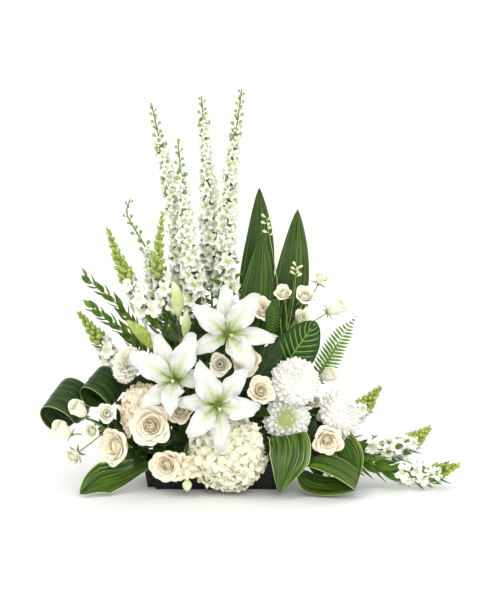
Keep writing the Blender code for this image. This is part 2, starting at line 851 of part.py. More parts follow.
def build_larkspur(name, points, florets, span, buds, bud_from=None):
    """A larkspur: open florets round the stem over span, and small buds to its tip."""
    way = Route(points)
    trunk, way = planted_stem(name, way, SPIKE_STEM, SPIKE_TIP, len(points) + 2)
    pieces = []
    for i in range(florets):
        place = i / (florets - 1)
        share = span[0] + (span[1] - span[0]) * place
        turn = GOLDEN_ANGLE * i
        out = around(way, share, turn, 0.25)
        size = 1.0 - 0.35 * place
        pieces.append(cup(way.at(share), out, 0.019 * size, 0.0185 * size, 0.010 * size, turn))
    start = span[1] + 0.03 if bud_from is None else bud_from
    for i in range(buds):
        place = i / max(buds - 1, 1)
        share = start + (0.985 - start) * place
        out = around(way, share, GOLDEN_ANGLE * i + 1.0, 0.8)
        pieces.append(bud(way.at(share), out, 0.016 - 0.005 * place, 0.0036, 4, 2, 0.62))
    return finished(join_repeats(trunk, pieces), SPIKE_GREEN)


def build_snapdragon(name, points, leaves, florets, buds):
    """A snapdragon: leaves low down, two-lipped florets, then a cone of buds.

    leaves, florets and buds are each (how many, first share, last share).
    """
    way = Route(points)
    trunk, way = planted_stem(name, way, SPIKE_STEM, SPIKE_TIP, len(points) + 1)
    pieces = []
    number = 0

    def stations(zone):
        count, first, last = zone
        for i in range(count):
            place = i / max(count - 1, 1)
            yield place, first + (last - first) * place

    for place, share in stations(leaves):
        out = around(way, share, GOLDEN_ANGLE * number, 0.75)
        number += 1
        length = 0.050 - 0.014 * place
        side = way.along(share).cross(out)
        pieces.append(small_leaf(way.at(share), out, side, length, 0.0065))
    for place, share in stations(florets):
        turn = GOLDEN_ANGLE * number
        out = around(way, share, turn, 0.35)
        number += 1
        size = 0.0165 - 0.003 * place
        pieces.append(
            floret(way.at(share), out, size * 1.7, size, 2, 0.62, 0.004, 2, 1.57, 0.40)
        )
    for place, share in stations(buds):
        out = around(way, share, GOLDEN_ANGLE * number, 0.55 + 0.5 * place)
        number += 1
        size = 1 - 0.60 * place
        pieces.append(bud(way.at(share), out, 0.025 * size, 0.0085 * size, 4, 2, 0.6))
    return finished(join_repeats(trunk, pieces), SPIKE_GREEN)


def build_leafy_stem(name, points, count):
    """A young leafy side stem with upswept narrow leaves to its tip."""
    way = Route(points)
    trunk, way = planted_stem(name, way, YOUNG_STEM, SPIKE_TIP, len(points) + 1)
    pieces = []
    for i in range(count):
        place = i / (count - 1)
        share = 0.42 + 0.56 * place
        out = around(way, share, GOLDEN_ANGLE * i, 0.95)
        length = 0.040 - 0.020 * place
        side = way.along(share).cross(out)
        pieces.append(small_leaf(way.at(share), out, side, length, 0.0045, 2, 0.0))
    return finished(join_repeats(trunk, pieces), STEM_GREEN)


# Broad leaves


def build_leaf(name, entry, stalk, ribs, half_width, side, finish, **shape):
    """A leaf on its stalk: stalk points lead from the foam to the blade's base."""
    outline = shape.pop("outline", lance)
    along = shape.pop("along", 7)
    across = shape.pop("across", 2)
    rib = Route(ribs)
    way = Route([entry, *stalk, rib.at(0.0), rib.at(0.05)])
    trunk, way = planted_stem(name, way, LEAF_STALK, LEAF_STALK_TIP, 5)
    place = leaf_place(rib, half_width, outline, side, **shape)
    pieces = [blade("blade", across, along, place, LEAF_THICK)]
    return finished(join_repeats(trunk, pieces), finish)


LOOP_TURNS = 0.93


def build_loop(name, entry, stalk, centre, axis, first, size, half_width, crease=0.0):
    """A strap leaf rolled into a loop, its tip tucked in behind where it starts.

    axis is the direction of its width, first points from the loop's centre to where the
    stalk joins it, and size holds the half-length and half-height of the ring. crease
    sharpens the end of the ring that lies opposite the stalk.
    """
    axis = Vector(axis).normalized()
    first = Vector(first)
    first = (first - axis * first.dot(axis)).normalized()
    other = axis.cross(first)
    ring = []
    steps = 14
    for i in range(steps + 1):
        angle = 2 * math.pi * LOOP_TURNS * i / steps
        inward = 1 - 0.13 * i / steps
        height = math.sin(angle) * (1 + 0.5 * crease) * abs(math.cos(angle / 2)) ** crease
        ring.append(
            centre
            + first * size[0] * inward * math.cos(angle)
            + other * size[1] * inward * height
        )
    rib = Route(ring)
    way = Route([entry, *stalk, ring[0], rib.at(0.05)])
    trunk, way = planted_stem(name, way, LOOP_STALK, LOOP_STALK_TIP, 5)
    place = leaf_place(rib, half_width, strap, axis)
    pieces = [blade("strap", 2, 16, place, LEAF_THICK)]
    return finished(join_repeats(trunk, pieces), STRIPED_LEAF)


def build_fern(name, entry, stalk, ribs, half_width, side, pairs):
    """A fern frond: one arched blade whose leaflets are cut to the rib."""
    rib = Route(ribs)
    way = Route([entry, *stalk, rib.at(0.0), rib.at(0.04)])
    trunk, way = planted_stem(name, way, FERN_STALK, FERN_STALK_TIP, 4)
    side = Vector(side)
    rows = 2 * pairs + 1
    shape = bmesh.new()
    bmesh.ops.create_grid(shape, x_segments=3, y_segments=rows, size=1.0)
    gaps = []
    for face in shape.faces:
        middle = face.calc_center_median()
        row = int((middle.y + 1) / 2 * rows)
        if abs(middle.x) > 0.5 and row % 2 == 0:
            gaps.append(face)
    bmesh.ops.delete(shape, geom=gaps, context="FACES")
    for vert in shape.verts:
        t = (vert.co.y + 1) / 2
        row = round(t * rows)
        u = vert.co.x
        centre = rib.at(t * 0.995)
        forward = rib.along(t)
        across = (side - forward * side.dot(forward)).normalized()
        normal = across.cross(forward)
        narrow = 0.0011 * (1.1 - t)
        if abs(u) < 0.5:
            shift = 0.28 * rib.length / rows * (1 if row % 2 == 0 else -1)
            spread = across * math.copysign(narrow, u) + forward * shift * 0.6
            vert.co = centre + spread
        else:
            reach = half_width * (0.35 + 0.65 * math.sin(math.pi * min(1, t * 0.9 + 0.08)))
            reach *= min(1.0, (1.04 - t) * 3.2)
            pinch = 0.42 * rib.length / rows * (1 if row % 2 == 1 else -1)
            spread = across * math.copysign(reach, u) + forward * (reach * 0.35 + pinch)
            vert.co = centre + spread - normal * reach * 0.16
    bmesh.ops.triangulate(shape, faces=shape.faces)
    frond = object_from(shape, "frond")
    shell = frond.modifiers.new("thickness", "SOLIDIFY")
    shell.thickness = FROND_THICK
    shell.offset = 0.0
    return finished(join_repeats(trunk, [frond]), FERN_GREEN)


def build_sprig(name, entry, points, leaves, side):
    """A filler sprig of dark oval leaves: (share, turn, length)."""
    way = Route([entry, *points])
    trunk, way = planted_stem(name, way, SPRIG_STEM, SPRIG_STEM_TIP, 4)
    pieces = []
    for share, turn, length in leaves:
        foot = way.at(share)
        forward = way.along(share)
        level = Vector(side).normalized()
        out = (level * math.cos(turn) + forward * math.sin(turn)).normalized()
        tip = foot + out * length
        rise = out.cross(Vector((0, -1, 0))).normalized()
        rib = Route([foot, foot.lerp(tip, 0.5) + Vector((0, -0.004, 0)), tip])
        place = leaf_place(rib, length * 0.27, oval, rise, fold=0.2)
        pieces.append(blade("leaf", 2, 4, place, LEAF_THICK))
    return finished(join_repeats(trunk, pieces), DARK_LEAF)


# The arrangement, in millimetres from the origin


def top(x, y):
    """A point on the foam's top face."""
    return Vector((x / 1000, y / 1000, FOAM_TOP))


def front(x, z):
    """A point on the foam's front face."""
    return Vector((x / 1000, -FOAM_WIDTH / 2, z / 1000))


def left(y, z):
    """A point on the foam's left end."""
    return Vector((-FOAM_LENGTH / 2, y / 1000, z / 1000))


def right(y, z):
    """A point on the foam's right end."""
    return Vector((FOAM_LENGTH / 2, y / 1000, z / 1000))


def place_lilies():
    """Three open lilies and their stalks, with the buds on the middle stalk.

    A petal is (angle in degrees, length in metres, lean at its root and at its tip in
    degrees, half width in metres).
    """
    base_a, face_a = millimetres(19, -95, 301), (0.08, -0.96, 0.22)
    build_lily(
        "lily_bloom_a", base_a, face_a,
        [
            (97, 0.124, 114, 0.0175),
            (57, 0.134, 100, 0.0235),
            (-10, 0.122, 114, 0.0170),
            (-58, 0.122, 106, 0.0230),
            (207, 0.110, 110, 0.0170),
            (147, 0.122, 104, 0.0225),
        ],
    )
    build_lily_stalk(
        "lily_stalk_a", top(14, -6), (0, -0.1, 1), base_a, face_a,
        leaves=[(0.45, 0.4, 0.06)],
    )
    base_b, face_b = millimetres(-72, -122, 218), (-0.14, -0.95, 0.28)
    build_lily(
        "lily_bloom_b", base_b, face_b,
        [
            (154, 0.138, 104, 0.0235),
            (110, 0.126, 110, 0.0175),
            (58, 0.136, 102, 0.0235),
            (4, 0.108, 92, 0.0165),
            (232, 0.112, 84, 0.0170),
            (274, 0.118, 66, 0.0215),
        ],
    )
    build_lily_stalk(
        "lily_stalk_b", top(-36, -22), (0, 0, 1), base_b, face_b,
        top=[millimetres(-58, -46, 200), millimetres(-67, -54, 275), millimetres(-72, -60, 331)],
        buds=[
            (0.97, millimetres(-72, -60, 331), millimetres(-81, -62, 396), 0.0125),
            (0.80, millimetres(-60, -78, 296), millimetres(-57, -84, 344), 0.0095),
            (0.66, millimetres(-118, -66, 270), millimetres(-168, -78, 325), 0.0130),
        ],
        leaves=[(0.35, 2.5, 0.06)],
    )
    base_c, face_c = millimetres(1, -150, 179), (0.04, -0.98, 0.18)
    build_lily(
        "lily_bloom_c", base_c, face_c,
        [
            (116, 0.128, 104, 0.0235),
            (52, 0.118, 112, 0.0185),
            (-9, 0.114, 102, 0.0230),
            (-80, 0.114, 112, 0.0180),
            (225, 0.116, 102, 0.0230),
            (168, 0.098, 106, 0.0165),
        ],
    )
    build_lily_stalk("lily_stalk_c", top(-6, -36), (0, -0.3, 1), base_c, face_c)


def place_roses():
    """Six large roses with their stems, and two half-hidden ones."""
    roses = [
        ("1", front(-98, 78), (-0.1, -1, 0), (-118, -122, 134), (-0.05, -0.95, 0.25), 0.037,
         (-0.1, -0.35, 0.93)),
        ("2", front(-80, 66), (0, -1, 0), (-88, -104, 60), (-0.20, -0.97, 0.02), 0.036,
         (0, -1, 0)),
        ("3", left(-40, 62), (-0.8, -0.3, 0.2), (-172, -84, 88), (-0.62, -0.77, 0.10), 0.035,
         (-0.62, -0.77, 0.10)),
        ("4", top(52, -34), (0.2, -0.5, 1), (80, -122, 197), (0.08, -0.92, 0.36), 0.027,
         (0.08, -0.92, 0.36)),
        ("5", top(-58, -42), (-0.1, -0.6, 1), (-68, -98, 157), (0, -0.96, 0.25), 0.028,
         (0, -0.96, 0.25)),
        ("6", right(-42, 82), (0.7, -0.6, 0.2), (205, -88, 105), (0.05, -0.99, -0.08), 0.033,
         (0.2, -0.97, 0)),
    ]
    for mark, entry, lean, base, facing, radius, rising in roses:
        spot = millimetres(*base)
        build_rose("rose_bloom_" + mark, spot, facing, radius)
        build_rose_stem("rose_stem_" + mark, entry, lean, spot, facing, rising)
    build_single_rose(
        "rose_7", top(36, -12), (0.1, -0.1, 1), millimetres(56, -56, 243), (0, -0.95, 0.3), 0.027
    )
    build_single_rose(
        "rose_8", top(62, -14), (0.05, 0, 1), millimetres(82, -32, 334), (0.2, -0.85, 0.45), 0.025
    )


def place_sprays():
    """Spray roses: a centre one, five at the left and six at the right."""
    build_spray(
        "spray_rose_centre", top(10, -26),
        [millimetres(8, -60, 180), millimetres(7, -84, 232)],
        [(0.98, millimetres(8, -112, 249), (0, -0.92, 0.35), 0.021, True)],
    )
    build_spray(
        "spray_rose_left", left(-20, 74),
        [millimetres(-160, -24, 100), millimetres(-214, -52, 114)],
        [
            (0.97, millimetres(-232, -112, 122), (-0.2, -0.9, 0.1), 0.0180, True),
            (0.90, millimetres(-204, -98, 152), (0.1, -0.9, 0.4), 0.0180, True),
            (0.95, millimetres(-250, -96, 154), (-0.5, -0.5, 0.7), 0.0140, False),
            (0.98, millimetres(-279, -96, 117), (-0.6, -0.4, 0.5), 0.0140, False),
            (0.93, millimetres(-267, -98, 72), (-0.5, -0.8, -0.2), 0.0170, True),
        ],
        leaves=[(0.75, 4.2, 0.030)],
    )
    build_spray(
        "spray_rose_right", top(94, 8),
        [millimetres(108, 2, 200), millimetres(138, -6, 300)],
        [
            (0.92, millimetres(126, -16, 366), (-0.2, -0.7, 0.7), 0.0175, True),
            (0.97, millimetres(166, -20, 362), (0.0, -0.8, 0.6), 0.0195, True),
            (0.93, millimetres(197, -8, 394), (0.3, -0.4, 0.8), 0.0170, True),
            (0.88, millimetres(218, -10, 334), (0.8, -0.4, 0.5), 0.0160, False),
            (0.96, millimetres(161, -18, 320), (0.3, -0.8, 0.4), 0.0175, True),
            (0.60, millimetres(203, -16, 207), (0.7, -0.4, 0.4), 0.0135, False),
        ],
        leaves=[(0.5, 1.0, 0.035)],
    )


def place_domes():
    """Three chrysanthemums and the carnation."""
    build_dome_flower(
        "chrysanthemum_1", top(82, -26), (0.2, -0.2, 1), millimetres(147, -86, 211),
        (0.08, -0.86, 0.50), petalled_dome(0.046, 0.034, 0.016, 20, 8, 1.0, 0.84), 0.016,
        WHITE_PETAL,
    )
    build_dome_flower(
        "chrysanthemum_2", top(80, -44), (0.3, -0.6, 1), millimetres(131, -76, 139),
        (-0.14, -0.97, 0.12), petalled_dome(0.041, 0.028, 0.015, 20, 8, 1.0, 0.82, 0.45), 0.015,
        WHITE_PETAL,
    )
    build_dome_flower(
        "chrysanthemum_3", right(-14, 86), (1, -0.1, 0.4), millimetres(231, -50, 140),
        (0.66, -0.56, 0.50), petalled_dome(0.046, 0.034, 0.016, 20, 8, 1.0, 0.84), 0.016,
        WHITE_PETAL,
    )
    build_dome_flower(
        "carnation", top(-76, -16), (-0.5, -0.1, 1), millimetres(-166, -54, 236),
        (-0.84, -0.40, 0.36), petalled_dome(0.035, 0.027, 0.030, 16, 8, 1.0, 0.80), 0.030,
        WHITE_PETAL,
    )


def place_hydrangeas():
    """The front mophead and the one behind the roses at the left."""
    build_hydrangea(
        "hydrangea_front", front(20, 70), (0, -1, 0), millimetres(21, -108, 79),
        (0.02, -1, 0.04), (0.070, 0.069, 0.056, 0.030), 0.0225, 20, IVORY_FLORET,
    )
    build_hydrangea(
        "hydrangea_left", top(-94, -22), (-0.4, -0.3, 1), millimetres(-134, -72, 150),
        (-0.15, -0.95, 0.25), (0.045, 0.052, 0.034, 0.026), 0.0190, 10, CREAM_PETAL,
    )


def place_larkspurs():
    """Four tall larkspurs at the back and a short curved one at the left."""
    build_larkspur(
        "larkspur_1",
        [top(-48, 38), millimetres(-52, 52, 240), millimetres(-65, 60, 398),
         millimetres(-92, 60, 564), millimetres(-125, 55, 723)],
        15, (0.38, 0.86), 5,
    )
    build_larkspur(
        "larkspur_2",
        [top(-30, 24), millimetres(-38, 18, 260), millimetres(-50, 14, 423),
         millimetres(-66, 14, 571), millimetres(-74, 20, 657)],
        12, (0.40, 0.86), 4,
    )
    build_larkspur(
        "larkspur_3",
        [top(-14, 42), millimetres(-10, 56, 240), millimetres(-12, 62, 433),
         millimetres(-18, 62, 591), millimetres(-30, 60, 736)],
        16, (0.36, 0.93), 3,
    )
    build_larkspur(
        "larkspur_4",
        [top(14, 28), millimetres(14, 26, 240), millimetres(17, 28, 394),
         millimetres(25, 32, 575), millimetres(47, 36, 750)],
        15, (0.36, 0.87), 5,
    )
    build_larkspur(
        "larkspur_5",
        [top(-66, 24), millimetres(-84, 38, 220), millimetres(-116, 48, 370),
         millimetres(-136, 46, 443), millimetres(-161, 40, 489), millimetres(-173, 36, 516),
         millimetres(-165, 34, 541)],
        5, (0.50, 0.68), 6, 0.72,
    )


def place_snapdragons():
    """Three snapdragons and two leafy stems at the left, three trailing at the right."""
    build_snapdragon(
        "snapdragon_1",
        [top(-80, -2), millimetres(-86, -10, 180), millimetres(-102, -18, 290),
         millimetres(-146, -20, 353), millimetres(-183, -16, 426), millimetres(-206, -14, 491)],
        (2, 0.40, 0.50), (4, 0.56, 0.72), (7, 0.76, 0.98),
    )
    build_snapdragon(
        "snapdragon_2",
        [top(-52, 6), millimetres(-76, 0, 230), millimetres(-103, -2, 377),
         millimetres(-112, -2, 428), millimetres(-102, 2, 520)],
        (2, 0.40, 0.50), (3, 0.56, 0.66), (7, 0.72, 0.98),
    )
    build_snapdragon(
        "snapdragon_3",
        [top(-104, 26), millimetres(-150, 26, 165), millimetres(-199, 22, 232),
         millimetres(-264, 8, 327)],
        (2, 0.40, 0.50), (3, 0.56, 0.70), (6, 0.75, 0.98),
    )
    build_leafy_stem(
        "leafy_stem_1",
        [top(-92, 40), millimetres(-132, 44, 220), millimetres(-179, 34, 323),
         millimetres(-251, 20, 393)],
        10,
    )
    build_leafy_stem(
        "leafy_stem_2",
        [top(-96, 8), millimetres(-126, 2, 190), millimetres(-161, -6, 274),
         millimetres(-238, -22, 343)],
        11,
    )
    build_snapdragon(
        "snapdragon_4",
        [right(6, 66), millimetres(180, 14, 88), millimetres(232, 16, 108),
         millimetres(270, 8, 130), millimetres(312, 0, 183)],
        (2, 0.34, 0.50), (3, 0.58, 0.72), (6, 0.77, 0.98),
    )
    build_snapdragon(
        "snapdragon_5",
        [right(-8, 60), millimetres(200, -4, 74), millimetres(311, -14, 64),
         millimetres(362, -22, 74), millimetres(406, -26, 110)],
        (3, 0.42, 0.62), (3, 0.70, 0.82), (6, 0.85, 0.985),
    )
    build_snapdragon(
        "snapdragon_6",
        [right(-22, 58), millimetres(190, -26, 64), millimetres(327, -56, 38),
         millimetres(396, -66, 28), millimetres(457, -68, 47)],
        (3, 0.44, 0.66), (3, 0.72, 0.83), (6, 0.86, 0.985),
    )


def place_leaves():
    """Upright leaves at the back right, rolled ones low down, and the foliage."""
    build_leaf(
        "upright_leaf_1", top(54, 42), [millimetres(62, 60, 180)],
        [millimetres(68, 68, 250), millimetres(76, 76, 380), millimetres(82, 82, 470),
         millimetres(81, 84, 559)],
        0.034, (1, 0.1, 0), DARK_LEAF, fold=0.12,
    )
    build_leaf(
        "upright_leaf_2", top(42, 12), [millimetres(52, 10, 170)],
        [millimetres(58, 8, 222), millimetres(74, 8, 330), millimetres(82, 10, 400),
         millimetres(86, 14, 475)],
        0.034, (1, -0.15, 0.1), DARK_LEAF, fold=0.12,
    )
    build_leaf(
        "upright_leaf_3", top(78, 32), [millimetres(98, 34, 190)],
        [millimetres(108, 34, 240), millimetres(136, 32, 350), millimetres(148, 34, 430),
         millimetres(154, 40, 521)],
        0.035, (1, -0.1, -0.2), DARK_LEAF, fold=0.12,
    )
    build_loop(
        "looped_leaf_1", left(18, 62), [millimetres(-180, 16, 84), millimetres(-220, -6, 112)],
        millimetres(-286, -18, 150), (-0.38, -0.80, -0.50), (1, 0, -0.55), (0.039, 0.034), 0.044,
    )
    build_loop(
        "looped_leaf_2", left(0, 78), [millimetres(-150, -2, 112), millimetres(-180, -14, 150)],
        millimetres(-217, -34, 186), (-0.42, -0.78, -0.45), (1, 0.1, -0.8), (0.034, 0.026), 0.036,
    )
    build_loop(
        "looped_leaf_3", right(-44, 58), [millimetres(138, -60, 58), millimetres(150, -88, 54)],
        millimetres(208, -120, 41), (-0.20, -0.88, -0.40), (-1, 0, 0.1), (0.058, 0.026), 0.029, 0.8,
    )
    build_leaf(
        "draped_leaf_left", front(-104, 60), [millimetres(-122, -66, 56)],
        [millimetres(-132, -72, 52), millimetres(-176, -86, 36), millimetres(-222, -112, 27),
         millimetres(-253, -132, 8)],
        0.026, (0.1, 0.5, 0.8), STRIPED_LEAF, outline=strap, fold=0.25,
    )
    build_leaf(
        "draped_leaf_right", front(94, 68), [millimetres(106, -72, 82)],
        [millimetres(111, -84, 96), millimetres(131, -108, 112), millimetres(139, -134, 84),
         millimetres(122, -152, 18)],
        0.036, (1, 0.15, -0.1), STRIPED_LEAF, outline=strap, fold=0.05,
    )
    build_leaf(
        "draped_leaf_far", right(-42, 70), [millimetres(160, -54, 84)],
        [millimetres(192, -57, 92), millimetres(232, -60, 90), millimetres(260, -72, 62),
         millimetres(268, -78, 14)],
        0.026, (0.2, -1, 0.3), STRIPED_LEAF, outline=strap, fold=0.1,
    )
    build_leaf(
        "veined_leaf_1", top(78, 4), [millimetres(98, -22, 170)],
        [millimetres(112, -46, 212), millimetres(146, -56, 262), millimetres(186, -50, 318)],
        0.040, (0.62, 0.1, -0.6), DARK_LEAF, outline=oval, fold=0.10, across=4, along=6,
    )
    build_leaf(
        "veined_leaf_2", top(60, 4), [millimetres(84, -30, 220), millimetres(98, -66, 280)],
        [millimetres(102, -74, 298), millimetres(106, -76, 330), millimetres(109, -70, 364)],
        0.020, (0.6, -0.6, 0.1), DARK_LEAF, outline=oval, fold=0.10, along=5,
    )
    build_fern(
        "fern_frond_1", top(104, 34), [millimetres(150, 26, 150)],
        [millimetres(178, 20, 184), millimetres(214, 14, 240), millimetres(244, 6, 290),
         millimetres(265, 0, 321)],
        0.021, (0.8, 0.1, -0.6), 10,
    )
    build_fern(
        "fern_frond_2", top(106, 18), [millimetres(150, 6, 146)],
        [millimetres(176, 2, 176), millimetres(212, -4, 226), millimetres(241, -10, 279)],
        0.019, (0.8, 0.1, -0.6), 8,
    )
    build_sprig(
        "leaf_sprig_1", top(-14, -8),
        [millimetres(-18, -30, 180), millimetres(-22, -44, 300)],
        [(0.55, 0.5, 0.060), (0.7, 2.6, 0.055), (0.85, 1.1, 0.050), (0.97, 1.7, 0.060)],
        (1, 0, 0),
    )
    build_sprig(
        "leaf_sprig_2", front(-50, 76), [millimetres(-52, -70, 88), millimetres(-56, -84, 112)],
        [(0.55, 2.4, 0.042), (0.75, 0.9, 0.040), (0.97, 1.6, 0.042)],
        (1, 0, 0),
    )
    build_sprig(
        "leaf_sprig_3", top(38, -43), [millimetres(48, -60, 140), millimetres(52, -62, 176)],
        [(0.40, 2.6, 0.050), (0.70, 2.3, 0.050), (0.97, 1.6, 0.034)],
        (1, 0, 0),
    )


def main():
    """Builds the arrangement, and the foam last, because it takes each stem's hole."""
    clear_scene()
    build_tray()
    place_lilies()
    place_roses()
    place_sprays()
    place_domes()
    place_hydrangeas()
    place_larkspurs()
    place_snapdragons()
    place_leaves()
    build_foam()


main()
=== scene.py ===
"""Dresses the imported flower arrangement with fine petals, leaves and stems, and lights it.

Metres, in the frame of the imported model: +X right, +Z up, and the flowers face -Y. Every piece
stands for one node of the model and follows that node's own lines and sizes. Petals and leaves
are closed blades, stems and buds are closed tubes, and both are worked out as whole arrays.
"""

from __future__ import annotations

import json
import logging
import math
from dataclasses import dataclass, field
from enum import Enum
from typing import Callable, Sequence

import bpy
import numpy as np
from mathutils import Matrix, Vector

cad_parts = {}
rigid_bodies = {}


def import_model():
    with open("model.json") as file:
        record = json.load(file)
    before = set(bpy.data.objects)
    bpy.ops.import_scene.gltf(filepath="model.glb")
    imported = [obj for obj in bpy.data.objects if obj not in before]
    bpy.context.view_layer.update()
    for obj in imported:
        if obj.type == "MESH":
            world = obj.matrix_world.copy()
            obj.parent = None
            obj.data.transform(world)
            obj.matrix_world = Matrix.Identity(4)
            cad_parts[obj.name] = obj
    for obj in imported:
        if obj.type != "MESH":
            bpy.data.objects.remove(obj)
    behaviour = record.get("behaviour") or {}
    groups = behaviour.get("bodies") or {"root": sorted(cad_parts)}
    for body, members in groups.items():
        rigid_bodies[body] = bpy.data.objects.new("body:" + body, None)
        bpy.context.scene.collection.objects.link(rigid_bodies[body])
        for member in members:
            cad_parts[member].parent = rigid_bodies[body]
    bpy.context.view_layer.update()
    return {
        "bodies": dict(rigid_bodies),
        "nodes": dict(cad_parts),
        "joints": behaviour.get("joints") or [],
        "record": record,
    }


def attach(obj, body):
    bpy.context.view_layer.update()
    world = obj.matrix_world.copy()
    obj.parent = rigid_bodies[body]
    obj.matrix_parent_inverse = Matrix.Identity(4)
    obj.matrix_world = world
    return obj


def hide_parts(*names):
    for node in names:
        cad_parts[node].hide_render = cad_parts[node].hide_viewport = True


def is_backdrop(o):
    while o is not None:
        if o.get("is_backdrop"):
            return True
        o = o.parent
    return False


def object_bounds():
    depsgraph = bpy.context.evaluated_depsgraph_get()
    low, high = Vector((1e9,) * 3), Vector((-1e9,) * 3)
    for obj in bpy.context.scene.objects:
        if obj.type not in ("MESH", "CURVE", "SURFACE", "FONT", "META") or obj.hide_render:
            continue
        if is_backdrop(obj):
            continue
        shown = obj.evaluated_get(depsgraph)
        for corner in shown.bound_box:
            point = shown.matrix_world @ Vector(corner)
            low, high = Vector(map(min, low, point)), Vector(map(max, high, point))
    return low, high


Array = np.ndarray
Colour = tuple[float, float, float]

log = logging.getLogger("arrangement")

FOAM_LENGTH = 0.230
FOAM_WIDTH = 0.104
FOAM_TOP = 0.092
HOLE_DEPTH = 0.026
GOLDEN_ANGLE = math.radians(137.508)
UP = np.array([0.0, 0.0, 1.0])
CREASE_ANGLE = math.radians(75)

# The golden share, which spreads tints and turns evenly.
GOLDEN_SHARE = 0.618034

# About one full turn, near enough for waves and phases.
TURN = 6.3
ALL_ROUND = (0.0, 6.28)

# Height under which points are pressed together above the surface that the tray stands on.
RESTING = 0.003

# How far light travels inside petals and leaves.
SCATTER = 0.003

# Thicknesses of petals and leaves.
PETAL = 0.0006
ROSE_PETAL = 0.0007
SPIKE_PETAL = 0.0005
BROAD_LEAF = 0.0011
NARROW_LEAF = 0.0008
OVAL_LEAF = 0.0009


def mm(*values: float) -> Array:
    """A point given in millimetres, in metres."""
    return np.array(values, float) / 1000


def top(x: float, y: float) -> Array:
    """A point on the foam's top face, from millimetres."""
    return np.array([x / 1000, y / 1000, FOAM_TOP])


def front(x: float, z: float) -> Array:
    """A point on the foam's front face, from millimetres."""
    return np.array([x / 1000, -FOAM_WIDTH / 2, z / 1000])


def left(y: float, z: float) -> Array:
    """A point on the foam's left end, from millimetres."""
    return np.array([-FOAM_LENGTH / 2, y / 1000, z / 1000])


def right(y: float, z: float) -> Array:
    """A point on the foam's right end, from millimetres."""
    return np.array([FOAM_LENGTH / 2, y / 1000, z / 1000])


def unit(vectors: Array | Sequence[float]) -> Array:
    """The vectors, each brought to length one."""
    vectors = np.asarray(vectors, float)
    return vectors / np.maximum(np.linalg.norm(vectors, axis=-1, keepdims=True), 1e-12)


def facing_frames(facings: Array, rolls: Array | float = 0.0) -> Array:
    """Turning matrices whose third column is the facing and whose first lies level.

    Args:
        facings: directions, one a row.
        rolls: turns about the facing, in radians.

    Returns:
        An array of 3 by 3 matrices.
    """
    z_axis = unit(np.atleast_2d(facings))
    x_axis = np.cross(UP, z_axis)
    x_axis[np.linalg.norm(x_axis, axis=-1) < 0.05] = (1.0, 0.0, 0.0)
    x_axis = unit(x_axis)
    y_axis = np.cross(z_axis, x_axis)
    rolls = np.broadcast_to(rolls, len(z_axis))
    c, s = np.cos(rolls)[:, None], np.sin(rolls)[:, None]
    return np.stack([x_axis * c + y_axis * s, y_axis * c - x_axis * s, z_axis], axis=-1)


def placed(grids: Array, frames: Array, origins: Array, scales: Array | float = 1.0) -> Array:
    """Copies of a set of grids, one set at each origin.

    Args:
        grids: points of n grids, as n by rows by columns by 3.
        frames: m turning matrices.
        origins: m points.
        scales: m sizes, or one for all.

    Returns:
        The points of m times n grids.
    """
    scales = np.broadcast_to(scales, len(frames))
    turned = np.einsum("mij,nrcj->mnrci", frames * scales[:, None, None], grids)
    turned += np.asarray(origins)[:, None, None, None, :]
    return turned.reshape(-1, *grids.shape[1:])


class Route:
    """A smooth line through a few points, read by its share of length from 0 to 1."""

    def __init__(self, points: Sequence[Array], steps: int = 10) -> None:
        """Each stretch between two points is a cubic that takes its slopes from their neighbours.

        Args:
            points: the points that the line goes through.
            steps: straight pieces to a stretch.
        """
        given = np.array(points, float)
        ends = np.vstack([2 * given[0] - given[1], given, 2 * given[-1] - given[-2]])
        t = (np.arange(1, steps + 1) / steps)[None, :, None]
        before, start, end, after = (ends[i : len(ends) - 3 + i, None, :] for i in range(4))
        spans = 0.5 * (
            2 * start
            + (end - before) * t
            + (2 * before - 5 * start + 4 * end - after) * t**2
            + (3 * start - before - 3 * end + after) * t**3
        )
        self.line = np.vstack([given[:1], spans.reshape(-1, 3)])
        lengths = np.linalg.norm(np.diff(self.line, axis=0), axis=1)
        self.sums = np.concatenate([[0.0], np.cumsum(lengths)])
        self.length = float(self.sums[-1])

    def at(self, shares: Array | float) -> Array:
        """The points at those shares of the length."""
        wanted = np.clip(shares, 0, 1) * self.length
        return np.stack([np.interp(wanted, self.sums, self.line[:, k]) for k in range(3)], -1)

    def along(self, shares: Array | float) -> Array:
        """The directions of the line at those shares of the length."""
        shares = np.asarray(shares, float)
        return unit(self.at(shares + 0.01) - self.at(shares - 0.01))


def bloom_way(entry: Array, lean: Sequence[float], head: Array, facing: Sequence[float]) -> Route:
    """A stem's line, a cubic with two handles, from the foam to the back of a bloom.

    Args:
        entry: where the stem enters the foam.
        lean: the direction in which it leaves the foam.
        head: where it ends.
        facing: the direction in which it meets the head.

    Returns:
        The line.
    """
    reach = np.linalg.norm(head - entry)
    handles = [
        entry,
        entry + unit(lean) * reach * 0.4,
        head - unit(facing) * reach * 0.35,
        head,
    ]
    t = np.linspace(0, 1, 9)[:, None]
    weights = ((1 - t) ** 3, 3 * t * (1 - t) ** 2, 3 * t**2 * (1 - t), t**3)
    return Route(sum(w * h for w, h in zip(weights, handles)))


def stations(count: int, first: float, last: float) -> tuple[Array, Array]:
    """Evenly spaced stations on a stem: their shares of its length, and their place from 0 to 1."""
    place = np.arange(count) / max(count - 1, 1)
    return first + (last - first) * place, place


